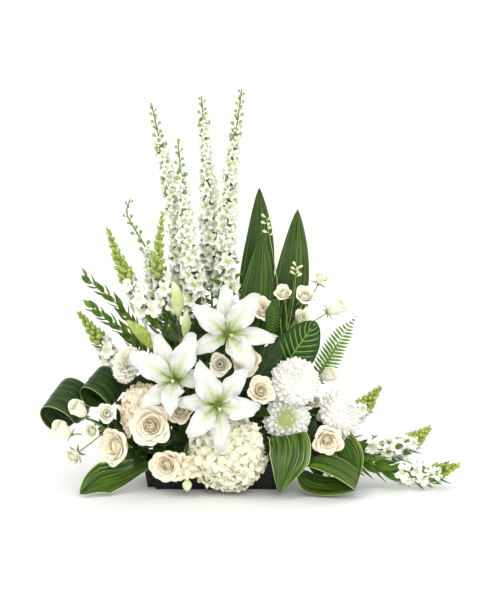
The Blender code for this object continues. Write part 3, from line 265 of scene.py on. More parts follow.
def around(way: Route, shares: Array, turns: Array, tilts: Array | float) -> Array:
    """Directions that leave a stem at those turns, tilted up along it by tilts radians."""
    forward = way.along(shares)
    across = unit(np.cross(forward, [0.3, -0.9, 0.1]))
    other = np.cross(forward, across)
    turns, tilts = np.asarray(turns)[..., None], np.asarray(tilts)[..., None]
    outward = across * np.cos(turns) + other * np.sin(turns)
    return unit(outward * np.cos(tilts) + forward * np.sin(tilts))


class Signal:
    """A number socket of a node tree that plain arithmetic can be done on."""

    def __init__(self, recipe: Recipe, socket: bpy.types.NodeSocket) -> None:
        """Keeps the socket and the recipe that its nodes go into."""
        self.recipe = recipe
        self.socket = socket

    def math(self, operation: str, *others: Signal | float) -> Signal:
        """The result of a Math node on this value and others."""
        values = dict(enumerate([self, *others]))
        return self.recipe.add("ShaderNodeMath", {"operation": operation}, values)

    def __add__(self, other: Signal | float) -> Signal:
        """This plus other."""
        return self.math("ADD", other)

    def __sub__(self, other: Signal | float) -> Signal:
        """This less other."""
        return self.math("SUBTRACT", other)

    def __rsub__(self, other: float) -> Signal:
        """Other less this."""
        return (self * -1.0) + other

    def __mul__(self, other: Signal | float) -> Signal:
        """This times other."""
        return self.math("MULTIPLY", other)

    __radd__ = __add__
    __rmul__ = __mul__

    def wave(self) -> Signal:
        """The sine of this, moved to run from 0 to 1."""
        return self.math("SINE") * 0.5 + 0.5

    def size(self) -> Signal:
        """This without its sign."""
        return self.math("ABSOLUTE")

    def rise(self, low: float, high: float) -> Signal:
        """0 below low and 1 above high, with a smooth climb between. low may be the larger."""
        settings = {"interpolation_type": "SMOOTHSTEP"}
        return self.recipe.add("ShaderNodeMapRange", settings, {0: self, 1: low, 2: high})


class Recipe:
    """A material in the making."""

    def __init__(self, name: str) -> None:
        """Starts an empty material of that name."""
        self.material = bpy.data.materials.new(name)
        self.material.use_nodes = True
        self.tree = self.material.node_tree
        self.shader = self.tree.nodes["Principled BSDF"]

    def add(self, kind: str, settings: dict, values: dict, output: int | str = 0) -> Signal:
        """Adds a node.

        Args:
            kind: the node's type.
            settings: its properties, which are set before its sockets.
            values: for each input, by place or name, a Signal, a number or a colour.
            output: which output is wanted.

        Returns:
            The wanted output.
        """
        node = self.tree.nodes.new(kind)
        for name, value in settings.items():
            setattr(node, name, value)
        for place, value in values.items():
            if isinstance(value, Signal):
                self.tree.links.new(value.socket, node.inputs[place])
            else:
                node.inputs[place].default_value = value
        return Signal(self, node.outputs[output])

    def across(self) -> Signal:
        """Place across a blade, from -1 at one edge to 1 at the other."""
        return self._uv("X") * 2.0 - 1.0

    def along(self) -> Signal:
        """Place along a blade or tube, from 0 at its root to 1 at its tip."""
        return self._uv("Y")

    def _uv(self, axis: str) -> Signal:
        """One coordinate of the piece's own UV map."""
        place = self.add("ShaderNodeUVMap", {"uv_map": "blade"}, {})
        return self.add("ShaderNodeSeparateXYZ", {}, {0: place}, axis)

    def tint(self) -> Signal:
        """A number from 0 to 1 that each petal or leaf has of its own."""
        return self.add("ShaderNodeAttribute", {"attribute_name": "tint"}, {}, "Fac")

    def noise(self, scale: float, detail: float = 2.0) -> Signal:
        """Noise from 0 to 1 in the object's own space, with that many cells to a metre."""
        place = self.add("ShaderNodeTexCoord", {}, {}, "Object")
        return self.add("ShaderNodeTexNoise", {}, {"Vector": place, "Scale": scale, "Detail": detail})

    def streaks(self, across: float, along: float) -> Signal:
        """Noise from 0 to 1 with that many cells across and along a blade, other on every blade."""
        uv = self.add("ShaderNodeUVMap", {"uv_map": "blade"}, {})
        place = self.add("ShaderNodeTexCoord", {}, {}, "Object")
        values = {0: uv, 1: (across, along, 1.0), 2: place}
        spread = self.add("ShaderNodeVectorMath", {"operation": "MULTIPLY_ADD"}, values)
        return self.add("ShaderNodeTexNoise", {}, {"Vector": spread, "Scale": 1.0, "Detail": 2.0})

    def mix(self, mask: Signal, low: Signal | Colour, high: Signal | Colour) -> Signal:
        """A colour that runs from low to high as mask runs from 0 to 1."""
        ends = [c if isinstance(c, Signal) else (*c, 1.0) for c in (low, high)]
        settings = {"data_type": "RGBA"}
        return self.add("ShaderNodeMix", settings, {0: mask, 6: ends[0], 7: ends[1]}, 2)

    def finish(
        self,
        colour: Signal,
        roughness: Signal,
        relief: Signal,
        depth: float,
        fixed: dict[str, float | Colour],
    ) -> bpy.types.Material:
        """Feeds the shader.

        Args:
            colour: base colour.
            roughness: roughness.
            relief: height of the fine relief, from 0 to 1.
            depth: what a height of 1 measures, in metres.
            fixed: values of the shader's other sockets.

        Returns:
            The material.
        """
        bump = self.add("ShaderNodeBump", {}, {"Strength": 1.0, "Distance": depth, "Height": relief})
        linked = {"Base Color": colour, "Roughness": roughness, "Normal": bump}
        for name, signal in linked.items():
            self.tree.links.new(signal.socket, self.shader.inputs[name])
        for name, value in fixed.items():
            self.shader.inputs[name].default_value = value
        return self.material


@dataclass(frozen=True)
class Finish:
    """A finish, which makes its material once."""

    name: str

    def material(self) -> bpy.types.Material:
        """The finish's material."""
        return bpy.data.materials.get(self.name) or self.make(Recipe(self.name))

    def make(self, recipe: Recipe) -> bpy.types.Material:
        """Mixes the material."""
        raise NotImplementedError


@dataclass(frozen=True)
class PetalFinish(Finish):
    """A petal: pale at its tip, tinged at its root, with fine veins that run its length."""

    tip: Colour
    root: Colour
    reach: float = 0.5
    shade: Colour = (0.80, 0.74, 0.60)
    shade_share: float = 0.25
    rib: Colour | None = None
    rib_reach: float = 0.6
    veins: float = 60.0
    depth: float = 0.00010
    roughness: float = 0.55
    glow: float = 0.12

    def make(self, recipe: Recipe) -> bpy.types.Material:
        """Mixes root to tip, then the midrib, then each petal's own shade and soft blotches."""
        along = recipe.along()
        across = recipe.across()
        colour = recipe.mix(along.rise(0.0, self.reach), self.root, self.tip)
        blotch = recipe.noise(90.0) * 0.6 + recipe.tint() * 0.6
        colour = recipe.mix(blotch.rise(0.45, 1.15) * self.shade_share, colour, self.shade)
        if self.rib is not None:
            narrow = across.size().rise(0.30, 0.02)
            fading = along.rise(self.rib_reach, 0.10)
            colour = recipe.mix(narrow * fading, colour, self.rib)
        veins = (across * self.veins + recipe.noise(60.0) * 3.0).wave()
        relief = veins * 0.5 + recipe.noise(900.0) * 0.5
        rough = recipe.noise(300.0) * 0.16 + (self.roughness - 0.08)
        fixed = {"Subsurface Weight": self.glow, "Subsurface Scale": SCATTER,
                 "Subsurface Radius": (1.0, 0.92, 0.76), "Specular IOR Level": 0.35}
        return recipe.finish(colour, rough, relief, self.depth, fixed)


class Veins(Enum):
    """How a leaf's veins run."""

    PARALLEL = "parallel"
    FEATHERED = "feathered"
    STRIPED = "striped"
    PLAIN = "plain"


@dataclass(frozen=True)
class LeafFinish(Finish):
    """A leaf: deep green with lighter veins, on parallel-veined ones pale streaks that are partly painted
    highlights, and on striped ones pale streaks and a pale margin.
    """

    deep: Colour
    light: Colour
    veins: Veins
    margin: Colour = (0.70, 0.72, 0.42)
    count: float = 9.0
    share: float = 0.5
    roughness: float = 0.38
    depth: float = 0.00025

    def make(self, recipe: Recipe) -> bpy.types.Material:
        """Mixes the green, the vein pattern over it and the relief of the veins."""
        along = recipe.along()
        across = recipe.across()
        wander = recipe.noise(22.0, 3.0)
        patch = recipe.noise(45.0, 3.0) * 0.7 + recipe.tint() * 0.5
        base = recipe.mix(patch.rise(0.25, 0.95) * 0.42, self.deep, self.light)
        rib = across.size().rise(0.05, 0.0)
        if self.veins is Veins.PARALLEL:
            fine = (across * self.count * TURN + wander * 4.0).wave()
            # Pale streaks along the veins: partly the leaf's own lighter veins, partly painted highlights.
            lines = recipe.streaks(30.0, 1.1).rise(0.48, 0.72) + fine.rise(0.75, 1.0) * 0.25
            colour = recipe.mix(lines * self.share, base, self.light)
            relief = fine * 0.7 + rib * -0.6
        elif self.veins is Veins.FEATHERED:
            slant = (along - across.size() * 0.22) * self.count * TURN + wander * 0.8
            fine = slant.wave()
            lines = fine.rise(0.72, 1.0) * across.size().rise(0.97, 0.60)
            colour = recipe.mix(lines * self.share, base, self.light)
            colour = recipe.mix(rib, colour, self.light)
            relief = fine.rise(0.9, 0.3) * 1.6 - rib * 0.8
        elif self.veins is Veins.STRIPED:
            fine = (across * self.count * TURN + wander * 3.0).wave()
            base = recipe.mix(recipe.streaks(13.0, 1.6).rise(0.40, 0.68) * 0.8, base, self.light)
            lines = recipe.streaks(38.0, 1.3).rise(0.62, 0.70)
            colour = recipe.mix(lines * self.share, base, self.margin)
            colour = recipe.mix(across.size().rise(0.945, 0.985), colour, self.margin)
            relief = fine * 0.25 - rib * 0.8
        else:
            fine = ((along + across.size() * -0.30) * self.count * TURN).wave()
            colour = recipe.mix(fine.rise(0.85, 1.0) * self.share, base, self.light)
            colour = recipe.mix(rib, colour, self.light)
            relief = fine * 0.5 - rib * 0.6
        relief = relief + recipe.noise(600.0) * 0.25
        rough = recipe.noise(120.0) * 0.18 + (self.roughness - 0.09)
        fixed = {"Subsurface Weight": 0.05, "Subsurface Scale": SCATTER,
                 "Subsurface Radius": (0.7, 1.0, 0.3), "Specular IOR Level": 0.22}
        return recipe.finish(colour, rough, relief, self.depth, fixed)


@dataclass(frozen=True)
class PlainFinish(Finish):
    """Stems, buds, foam and tray: two close colours in soft patches, with a fine relief."""

    low: Colour
    high: Colour
    patches: float = 120.0
    grain: float = 900.0
    depth: float = 0.00015
    roughness: float = 0.5
    blend: Colour | None = None
    blend_from: float = 0.9
    coat: float = 0.0

    def make(self, recipe: Recipe) -> bpy.types.Material:
        """Mixes the patches and, where there is one, the colour that the tips turn to."""
        patch = recipe.noise(self.patches, 3.0)
        colour = recipe.mix(patch.rise(0.30, 0.70), self.low, self.high)
        if self.blend is not None:
            turned = recipe.along().rise(self.blend_from - 0.3, self.blend_from)
            colour = recipe.mix(turned, colour, self.blend)
        rough = patch * 0.2 + (self.roughness - 0.1)
        fixed = {"Coat Weight": self.coat, "Coat Roughness": 0.12, "Specular IOR Level": 0.3}
        return recipe.finish(colour, rough, recipe.noise(self.grain, 3.0), self.depth, fixed)


LILY = PetalFinish(
    "lily_petal", (0.715, 0.72, 0.69), (0.54, 0.70, 0.10), reach=0.50, shade=(0.66, 0.67, 0.58),
    shade_share=0.35, rib=(0.54, 0.66, 0.14), rib_reach=0.80, veins=26.0, depth=0.00060, glow=0.10,
)
ROSE = PetalFinish(
    "rose_petal", (0.98, 0.915, 0.73), (0.99, 0.81, 0.47), reach=0.80, shade=(0.98, 0.82, 0.58),
    shade_share=0.35, veins=34.0, depth=0.00004, roughness=0.7, glow=0.05,
)
SPRAY_ROSE = PetalFinish(
    "spray_rose_petal", (0.98, 0.96, 0.81), (0.92, 0.92, 0.58), reach=0.60, shade=(0.95, 0.90, 0.62),
    shade_share=0.30, veins=30.0, depth=0.00004, roughness=0.7, glow=0.05,
)
MUM = PetalFinish(
    "chrysanthemum_petal", (0.99, 0.985, 0.935), (0.97, 0.98, 0.82), reach=0.30, shade=(0.98, 0.97, 0.88),
    shade_share=0.12, veins=12.0, depth=0.00006, roughness=0.7, glow=0.04,
)
MUM_CORE = PetalFinish(
    "chrysanthemum_middle", (0.66, 0.72, 0.34), (0.45, 0.55, 0.16), reach=0.6, shade=(0.6, 0.66, 0.3),
    veins=8.0,
)
CARNATION = PetalFinish(
    "carnation_petal", (0.99, 0.97, 0.86), (0.985, 0.95, 0.72), reach=0.55, shade=(0.98, 0.93, 0.76),
    shade_share=0.25, veins=30.0, depth=0.00005, roughness=0.7, glow=0.04,
)
HYDRANGEA = PetalFinish(
    "hydrangea_petal", (0.96, 0.94, 0.76), (0.78, 0.82, 0.32), reach=0.45, shade=(0.92, 0.90, 0.64),
    shade_share=0.40, veins=16.0, depth=0.00008, roughness=0.68, glow=0.05,
)
TAN_HYDRANGEA = PetalFinish(
    "tan_hydrangea_petal", (0.97, 0.89, 0.69), (0.88, 0.78, 0.46), reach=0.50, shade=(0.93, 0.78, 0.54),
    shade_share=0.45, veins=16.0, depth=0.00008, roughness=0.68, glow=0.05,
)
LARKSPUR = PetalFinish(
    "larkspur_petal", (0.97, 0.975, 0.92), (0.72, 0.82, 0.34), reach=0.50, shade=(0.84, 0.89, 0.62),
    shade_share=0.42, rib=(0.66, 0.78, 0.34), rib_reach=1.3, veins=12.0, depth=0.00006, glow=0.04,
)
SNAPDRAGON = PetalFinish(
    "snapdragon_petal", (0.95, 0.96, 0.86), (0.66, 0.76, 0.26), reach=0.70, shade=(0.86, 0.90, 0.62),
    shade_share=0.35, veins=14.0, depth=0.00008, glow=0.04,
)
LILY_BUD = PlainFinish(
    "lily_bud", (0.50, 0.60, 0.22), (0.66, 0.72, 0.36), 60.0, 400.0, 0.0002, 0.5,
    blend=(0.72, 0.78, 0.46),
)
GREEN_BUD = PlainFinish(
    "green_bud", (0.250, 0.350, 0.045), (0.450, 0.540, 0.130), 140.0, 500.0, 0.0002, 0.5,
)
WHITE_BUD = PlainFinish("white_bud", (0.62, 0.72, 0.34), (0.84, 0.88, 0.64), 160.0, 500.0, 0.0001, 0.5)
STEM = PlainFinish("stem", (0.045, 0.090, 0.016), (0.110, 0.180, 0.040), 90.0, 700.0, 0.0002, 0.45)
PALE_STEM = PlainFinish(
    "pale_stem", (0.200, 0.300, 0.060), (0.360, 0.480, 0.130), 90.0, 700.0, 0.0002, 0.45,
)
SEPAL = PlainFinish("sepal", (0.110, 0.190, 0.035), (0.240, 0.350, 0.090), 200.0, 700.0, 0.0002, 0.5)
STIGMA = PlainFinish("stigma", (0.46, 0.54, 0.24), (0.60, 0.66, 0.36), 300.0, 1500.0, 0.0003, 0.6)
ANTHER = PlainFinish("anther", (0.46, 0.36, 0.16), (0.62, 0.54, 0.28), 400.0, 2000.0, 0.0003, 0.8)
# The light green in the upright leaves' pale streaks is partly painted highlight, partly the veins' own
# colour.
ASPIDISTRA = LeafFinish(
    "aspidistra", (0.017, 0.050, 0.006), (0.190, 0.290, 0.055), Veins.PARALLEL, count=9.0, share=0.70,
    roughness=0.46,
)
STRIPED = LeafFinish(
    "margined_leaf", (0.018, 0.054, 0.004), (0.120, 0.215, 0.018), Veins.STRIPED,
    margin=(0.62, 0.70, 0.28), count=7.0, share=0.62, roughness=0.36,
)
SHADED = LeafFinish(
    "shaded_leaf", (0.012, 0.034, 0.006), (0.052, 0.100, 0.016), Veins.STRIPED,
    margin=(0.36, 0.44, 0.14), count=6.0, share=0.16, roughness=0.34,
)
CALATHEA = LeafFinish(
    "feathered_leaf", (0.013, 0.050, 0.005), (0.210, 0.400, 0.055), Veins.FEATHERED, count=11.0, share=0.75,
    roughness=0.32, depth=0.0006,
)
SMALL_LEAF = LeafFinish(
    "small_leaf", (0.055, 0.140, 0.012), (0.250, 0.410, 0.050), Veins.PLAIN, count=5.0, share=0.4,
)
DARK_LEAF = LeafFinish(
    "leathery_leaf", (0.016, 0.042, 0.007), (0.060, 0.115, 0.020), Veins.PLAIN, count=7.0, share=0.4,
)
FERN = LeafFinish(
    "fern", (0.100, 0.225, 0.016), (0.280, 0.450, 0.060), Veins.PLAIN, count=8.0, share=0.4, roughness=0.5,
)
TRAY = PlainFinish(
    "black_tray", (0.003, 0.003, 0.0035), (0.008, 0.008, 0.009), 30.0, 1200.0, 0.00008, 0.36, coat=0.04,
)
FOAM = PlainFinish("foam_brick", (0.030, 0.075, 0.030), (0.060, 0.130, 0.055), 220.0, 1500.0, 0.0012, 0.9)


def quads_of(grid: Array) -> Array:
    """The quads between neighbouring entries of a grid of vertex numbers."""
    corners = [grid[:-1, :-1], grid[:-1, 1:], grid[1:, 1:], grid[1:, :-1]]
    return np.stack(corners, -1).reshape(-1, 4)


def blade_faces(rows: int, cols: int) -> Array:
    """Faces of a closed blade: a front grid, and a back grid that shares its rim."""
    face = np.arange(rows * cols).reshape(rows, cols)
    back = face.copy()
    back[1:-1, 1:-1] = rows * cols + np.arange((rows - 2) * (cols - 2)).reshape(rows - 2, cols - 2)
    return np.vstack([quads_of(face), quads_of(back)[:, ::-1]])


def tube_faces(rows: int, sides: int) -> Array:
    """Faces of a closed tube of rings, with a fan of triangles at each end.

    A triangle has -1 as its fourth corner.
    """
    ring = np.arange(rows * sides).reshape(rows, sides)
    ahead = np.roll(ring, -1, axis=1)
    walls = np.stack([ring[:-1], ahead[:-1], ahead[1:], ring[1:]], -1).reshape(-1, 4)
    none = np.full(sides, -1)
    first = np.stack([ahead[0], ring[0], none + 1 + rows * sides, none], -1)
    last = np.stack([ring[-1], ahead[-1], none + 2 + rows * sides, none], -1)
    return np.vstack([walls, first, last])


class Sheaf:
    """Closed blades and tubes gathered into one mesh, each with the finish of its faces."""

    def __init__(self, name: str) -> None:
        """Starts an empty sheaf of that name."""
        self.name = name
        self.points: list[Array] = []
        self.faces: list[Array] = []
        self.marks: list[Array] = []
        self.places: list[Array] = []
        self.tints: list[Array] = []
        self.finishes: list[Finish] = []
        self.count = 0

    def _add(self, points: Array, faces: Array, places: Array, finish: Finish, tint: Array) -> None:
        """Adds n copies of one set of faces.

        Args:
            points: n by vertices by 3.
            faces: the faces of one copy.
            places: the UV place of each vertex of one copy.
            finish: the finish of all these faces.
            tint: a number for each copy.
        """
        if finish not in self.finishes:
            self.finishes.append(finish)
        copies, size = points.shape[:2]
        shift = self.count + np.arange(copies)[:, None, None] * size
        self.faces.append(np.where(faces[None] >= 0, faces[None] + shift, -1).reshape(-1, 4))
        self.points.append(points.reshape(-1, 3))
        self.places.append(np.tile(places, (copies, 1)))
        self.tints.append(np.repeat(tint, size))
        self.marks.append(np.full(copies * len(faces), self.finishes.index(finish)))
        self.count += copies * size

    def blades(self, grids: Array, thickness: float, finish: Finish, tint: Array | None = None) -> None:
        """Adds blades, each raised by half its thickness to both sides within its rim.

        Args:
            grids: middle surfaces, n by rows by columns by 3.
            thickness: how thick they are.
            finish: their finish.
            tint: a number from 0 to 1 for each, by its order if none is given.
        """
        copies, rows, cols = grids.shape[:3]
        normal = unit(np.cross(np.gradient(grids, axis=2), np.gradient(grids, axis=1)))
        raised = grids.copy()
        raised[:, 1:-1, 1:-1] += normal[:, 1:-1, 1:-1] * thickness / 2
        lower = (grids - normal * thickness / 2)[:, 1:-1, 1:-1].reshape(copies, -1, 3)
        points = np.concatenate([raised.reshape(copies, -1, 3), lower], axis=1)
        v, u = np.meshgrid(np.linspace(0, 1, rows), np.linspace(0, 1, cols), indexing="ij")
        place = np.stack([u, v], -1)
        places = np.vstack([place.reshape(-1, 2), place[1:-1, 1:-1].reshape(-1, 2)])
        if tint is None:
            tint = (np.arange(copies) * GOLDEN_SHARE) % 1.0
        self._add(points, blade_faces(rows, cols), places, finish, tint)

    def tubes(self, lines: Array, radii: Array | float, sides: int, finish: Finish) -> None:
        """Adds tubes whose rings stand square to their lines.

        Args:
            lines: middle lines, n by rows by 3.
            radii: radii that broadcast to n by rows by sides.
            sides: how many sides they have.
            finish: their finish.
        """
        copies, rows = lines.shape[:2]
        forward = unit(np.gradient(lines, axis=1))
        spread = lines - lines.mean(axis=1, keepdims=True)
        _, vectors = np.linalg.eigh(np.swapaxes(spread, 1, 2) @ spread)
        least = vectors[:, None, :, 0]
        first = unit(least - forward * (least * forward).sum(-1, keepdims=True))
        second = np.cross(forward, first)
        turn = np.arange(sides)[:, None] / sides * 2 * np.pi
        ring = first[:, :, None] * np.cos(turn) + second[:, :, None] * np.sin(turn)
        rings = lines[:, :, None] + ring * np.broadcast_to(radii, (copies, rows, sides))[..., None]
        points = np.concatenate([rings.reshape(copies, -1, 3), lines[:, :1], lines[:, -1:]], axis=1)
        v, u = np.meshgrid(np.linspace(0, 1, rows), np.arange(sides) / sides, indexing="ij")
        place = np.stack([np.abs(2 * u - 1), v], -1).reshape(-1, 2)
        places = np.vstack([place, [[0.5, 0.0], [0.5, 1.0]]])
        self._add(points, tube_faces(rows, sides), places, finish, np.full(copies, 0.5))

    def tube(self, line: Array, radii: Array | Sequence[float], sides: int, finish: Finish) -> None:
        """Adds one tube.

        Args:
            line: its middle line, rows by 3.
            radii: its radii, one for each ring, or rows by sides.
            sides: how many sides it has.
            finish: its finish.
        """
        self.tubes(line[None], np.asarray(radii, float).reshape(1, len(line), -1), sides, finish)

    def stem(self, way: Route, radii: tuple[float, float], finish: Finish, rows: int = 24, sides: int = 8,
             rooted: bool = True) -> None:
        """Adds one tapering stem along a line, with its foot in the foam if it is rooted.

        Args:
            way: its line.
            radii: its radius at the foot and at the tip.
            finish: its finish.
            rows: rings along it.
            sides: sides of each ring.
            rooted: whether the line starts in the foam's surface.
        """
        shares = np.linspace(0, 1, rows)
        line = way.at(shares)
        radius = radii[0] + (radii[1] - radii[0]) * shares**1.5
        if rooted:
            foot = line[0] + unit(line[0] - way.at(0.02)) * HOLE_DEPTH
            line = np.vstack([foot, line])
            radius = np.concatenate([radii[:1], radius])
        self.tube(line, radius, sides, finish)

    def build(self, node: str, slot: str) -> bpy.types.Object:
        """Makes the mesh object, which stands for the node and rides on the body.

        What comes lower than RESTING is pressed together above the surface that the tray stands on, by
        an exponential that never reaches it.

        Args:
            node: the node that it stands for.
            slot: the record's material slot; not used.

        Returns:
            The object.
        """
        points = np.vstack(self.points)
        low = points[:, 2] < RESTING
        points[low, 2] = RESTING * np.exp((points[low, 2] - RESTING) / RESTING)
        faces = np.vstack(self.faces)
        used = faces >= 0
        sizes = used.sum(axis=1)
        corners = faces[used]
        mesh = bpy.data.meshes.new(self.name)
        mesh.vertices.add(len(points))
        mesh.vertices.foreach_set("co", points.ravel().astype(np.float32))
        mesh.loops.add(len(corners))
        mesh.loops.foreach_set("vertex_index", corners.astype(np.int32))
        mesh.polygons.add(len(faces))
        starts = np.concatenate([[0], np.cumsum(sizes)[:-1]])
        mesh.polygons.foreach_set("loop_start", starts.astype(np.int32))
        mesh.polygons.foreach_set("material_index", np.concatenate(self.marks).astype(np.int32))
        mesh.update(calc_edges=True)
        blade = mesh.uv_layers.new(name="blade")
        blade.data.foreach_set("uv", np.vstack(self.places)[corners].ravel().astype(np.float32))
        tint = mesh.attributes.new("tint", "FLOAT", "POINT")
        tint.data.foreach_set("value", np.concatenate(self.tints).astype(np.float32))
        for finish in self.finishes:
            mesh.materials.append(finish.material())
        mesh.shade_smooth()
        mesh.set_sharp_from_angle(angle=CREASE_ANGLE)
        obj = bpy.data.objects.new(self.name, mesh)
        bpy.context.scene.collection.objects.link(obj)
        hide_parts(node)
        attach(obj, "root")
        log.info("%s stands for %s with %d faces", self.name, node, len(faces))
        return obj


def even(u: Array) -> Array:
    """A petal's far edge: square across."""
    return np.ones_like(u)


@dataclass(frozen=True)
class PetalForm:
    """One kind of petal, drawn from its root outwards.

    Its middle line starts at a radius and height from the bloom's axis and bends through a lean off
    the axis that is given at a few shares of its length. It is as wide to each side as outline says,
    measured round the axis and never more than wrap radians, and edge says how far along the line
    each column ends. relief is how far the surface stands to its front, in half widths, and sway how
    many radians the tips may turn aside.
    """

    rows: int
    cols: int
    keys: tuple[float, ...]
    outline: Callable[[Array], Array]
    relief: Callable[[Array, Array, Array], Array]
    edge: Callable[[Array], Array] = even
    wrap: float = 0.77
    sway: float = 0.0

    def grids(
        self, turn: Array, root: Array, leans: Array, length: Array, half: Array, phase: Array
    ) -> Array:
        """Petals in their bloom's own frame, whose Z axis is the bloom's axis.

        Args:
            turn: the angle of each petal round the axis, in radians.
            root: radius and height of each petal's root.
            leans: degrees off the axis at the form's keys, a row for each petal.
            length: each petal's length.
            half: each petal's half width.
            phase: a number from 0 to 1 for each, which shifts its waves.

        Returns:
            Their points, n by rows by columns by 3.
        """
        fine = 49
        steps = np.linspace(0, 1, fine)
        basis = np.stack([np.interp(steps, self.keys, row) for row in np.eye(len(self.keys))])
        lean = np.radians(np.asarray(leans, float)) @ basis
        middle = (lean[:, 1:] + lean[:, :-1]) / 2
        step = np.asarray(length)[:, None] / (fine - 1)
        zero = np.zeros((len(lean), 1))
        radius = root[:, :1] + np.hstack([zero, np.cumsum(step * np.sin(middle), axis=1)])
        height = root[:, 1:] + np.hstack([zero, np.cumsum(step * np.cos(middle), axis=1)])
        t = np.linspace(0, 1, self.rows)[:, None]
        u = np.linspace(-1, 1, self.cols)[None, :]
        reach = np.clip(t * self.edge(u), 0, 1) * (fine - 1)
        low = np.minimum(reach.astype(int), fine - 2)
        part = reach - low
        radius, height, lean = (
            line[:, low] * (1 - part) + line[:, low + 1] * part for line in (radius, height, lean)
        )
        half = np.asarray(half)[:, None, None]
        wide = half * self.outline(t)
        phase = np.asarray(phase)[:, None, None]
        spin = turn[:, None, None] + self.sway * (2 * phase - 1) * t**2
        spin = spin + u * np.minimum(wide / np.maximum(radius, 1e-5), self.wrap)
        radial = np.stack([np.cos(spin), np.sin(spin), np.zeros_like(spin)], -1)
        back = radial * np.cos(lean)[..., None] - UP * np.sin(lean)[..., None]
        lift = half * self.relief(t, u, phase)
        return radial * radius[..., None] + UP * height[..., None] - back * lift[..., None]


@dataclass
class Piece:
    """One node's finer stand-in."""

    node: str

    slot = "white_petal"

    def gather(self, sheaf: Sheaf) -> None:
        """Adds the piece's surfaces to the sheaf."""
        raise NotImplementedError

    def dress(self) -> bpy.types.Object:
        """Makes the piece."""
        sheaf = Sheaf(self.node + "_fine")
        self.gather(sheaf)
        return sheaf.build(self.node, self.slot)

    def draw(self) -> np.random.Generator:
        """A random draw that is the same each run, seeded by the node's letters."""
        return np.random.default_rng(sum(ord(letter) * (i + 1) for i, letter in enumerate(self.node)))


def tapered(t: Array) -> Array:
    """A lily petal's outline: narrow at its foot, broad past the middle, with a rippled round tip."""
    return (0.17 + 0.83 * np.sin(np.pi * np.clip(t, 0.0, 1.0) ** 1.12) ** 0.85) * (1 + 0.05 * np.sin(23 * t))


def lily_relief(t: Array, u: Array, phase: Array) -> Array:
    """A pressed midrib between two swells, edges that fall back, and waves that grow to the rim."""
    rib = -0.09 * np.exp(-((u / 0.10) ** 2)) + 0.05 * np.exp(-(((np.abs(u) - 0.25) / 0.16) ** 2))
    fall = -0.14 * u**2 * t
    waves = 0.46 * np.abs(u) ** 2.4 * np.sin(2 * np.pi * (3.2 * t + phase) + 2.2 * u) * t
    return (rib * (1 - 0.6 * t) + fall + waves) * np.sin(np.pi * np.minimum(t * 1.6, 1) / 2)


@dataclass
class LilyBloom(Piece):
    """An open lily: six petals, six stamens and a pistil on a short neck.

    A petal is (angle in degrees, length, lean at its tip in degrees, half width).
    """

    base: Array
    facing: Sequence[float]
    petals: Sequence[tuple[float, float, float, float]]

    NECK = (0.0045, 0.0062, 0.0072, 0.0045)
    INNER_HALF = 0.0195
    THICK = 0.0012
    STAMENS = 6
    PISTIL = 0.066

    def gather(self, sheaf: Sheaf) -> None:
        """Adds the petals, the neck, the stamens and the pistil."""
        form = PetalForm(
            34, 17, (0.0, 0.72, 1.0), tapered, lily_relief, lambda u: 1 - 0.07 * u**2, sway=0.14
        )
        table = np.array(self.petals)
        inner = table[:, 3] > self.INNER_HALF
        start = np.where(inner, 7.0, 14.0)
        root = np.stack([np.where(inner, 0.0012, 0.0032), np.full(len(table), 0.002)], -1)
        bent = start + (table[:, 2] - start) * 0.76
        leans = np.stack([start, bent, table[:, 2] + 70], -1)
        grids = form.grids(
            np.radians(table[:, 0]), root, leans, table[:, 1], table[:, 3], self.draw().random(len(table))
        )
        frame = facing_frames(self.facing)
        sheaf.blades(placed(grids, frame, [self.base]), self.THICK, LILY)
        axis = unit(self.facing)
        neck = self.base + axis * np.array([0.0, 0.004, 0.010, 0.018])[:, None]
        sheaf.tube(neck, self.NECK, 12, PALE_STEM)
        self._stamens(sheaf, frame[0])

    def _stamens(self, sheaf: Sheaf, frame: Array) -> None:
        """Adds the filaments with an anther across each tip, and the pistil with its stigma."""
        s = np.linspace(0, 1, 9)[None, :]
        turn = (2 * np.pi * np.arange(self.STAMENS) / self.STAMENS + 0.44)[:, None]
        away = 0.003 + 0.021 * s**1.6
        height = np.repeat(0.010 + 0.046 * s, self.STAMENS, axis=0)
        local = np.stack([away * np.cos(turn), away * np.sin(turn) - 0.004 * s, height], -1)
        lines = self.base + local @ frame.T
        radii = np.linspace(0.0014, 0.0008, 9)[None, :, None]
        sheaf.tubes(lines, radii, 6, PALE_STEM)
        tips = lines[:, -1]
        across = unit(np.cross(lines[:, -1] - lines[:, -2], frame[:, 2]))
        reach = np.linspace(-1, 1, 7)[None, :, None] * 0.0045
        body = 0.0013 * np.sqrt(1 - np.linspace(-0.96, 0.96, 7) ** 2)
        sheaf.tubes(tips[:, None] + across[:, None] * reach, body[None, :, None], 6, ANTHER)
        z = np.linspace(0.010, self.PISTIL, 10)
        bow = (z / self.PISTIL) ** 2
        pistil = np.stack([0.004 * bow, -0.006 * bow, z], -1)
        sheaf.tube(self.base + pistil @ frame.T, np.linspace(0.0022, 0.0012, 10), 8, PALE_STEM)
        end = pistil[-1] + np.linspace(-0.0012, 0.0022, 6)[:, None] * UP
        lobes = 1 + 0.22 * np.cos(3 * np.arange(12) / 12 * 2 * np.pi)
        profile = np.array([0.0012, 0.0026, 0.0034, 0.0036, 0.0028, 0.0010])
        sheaf.tube(self.base + end @ frame.T, profile[:, None] * lobes, 12, STIGMA)


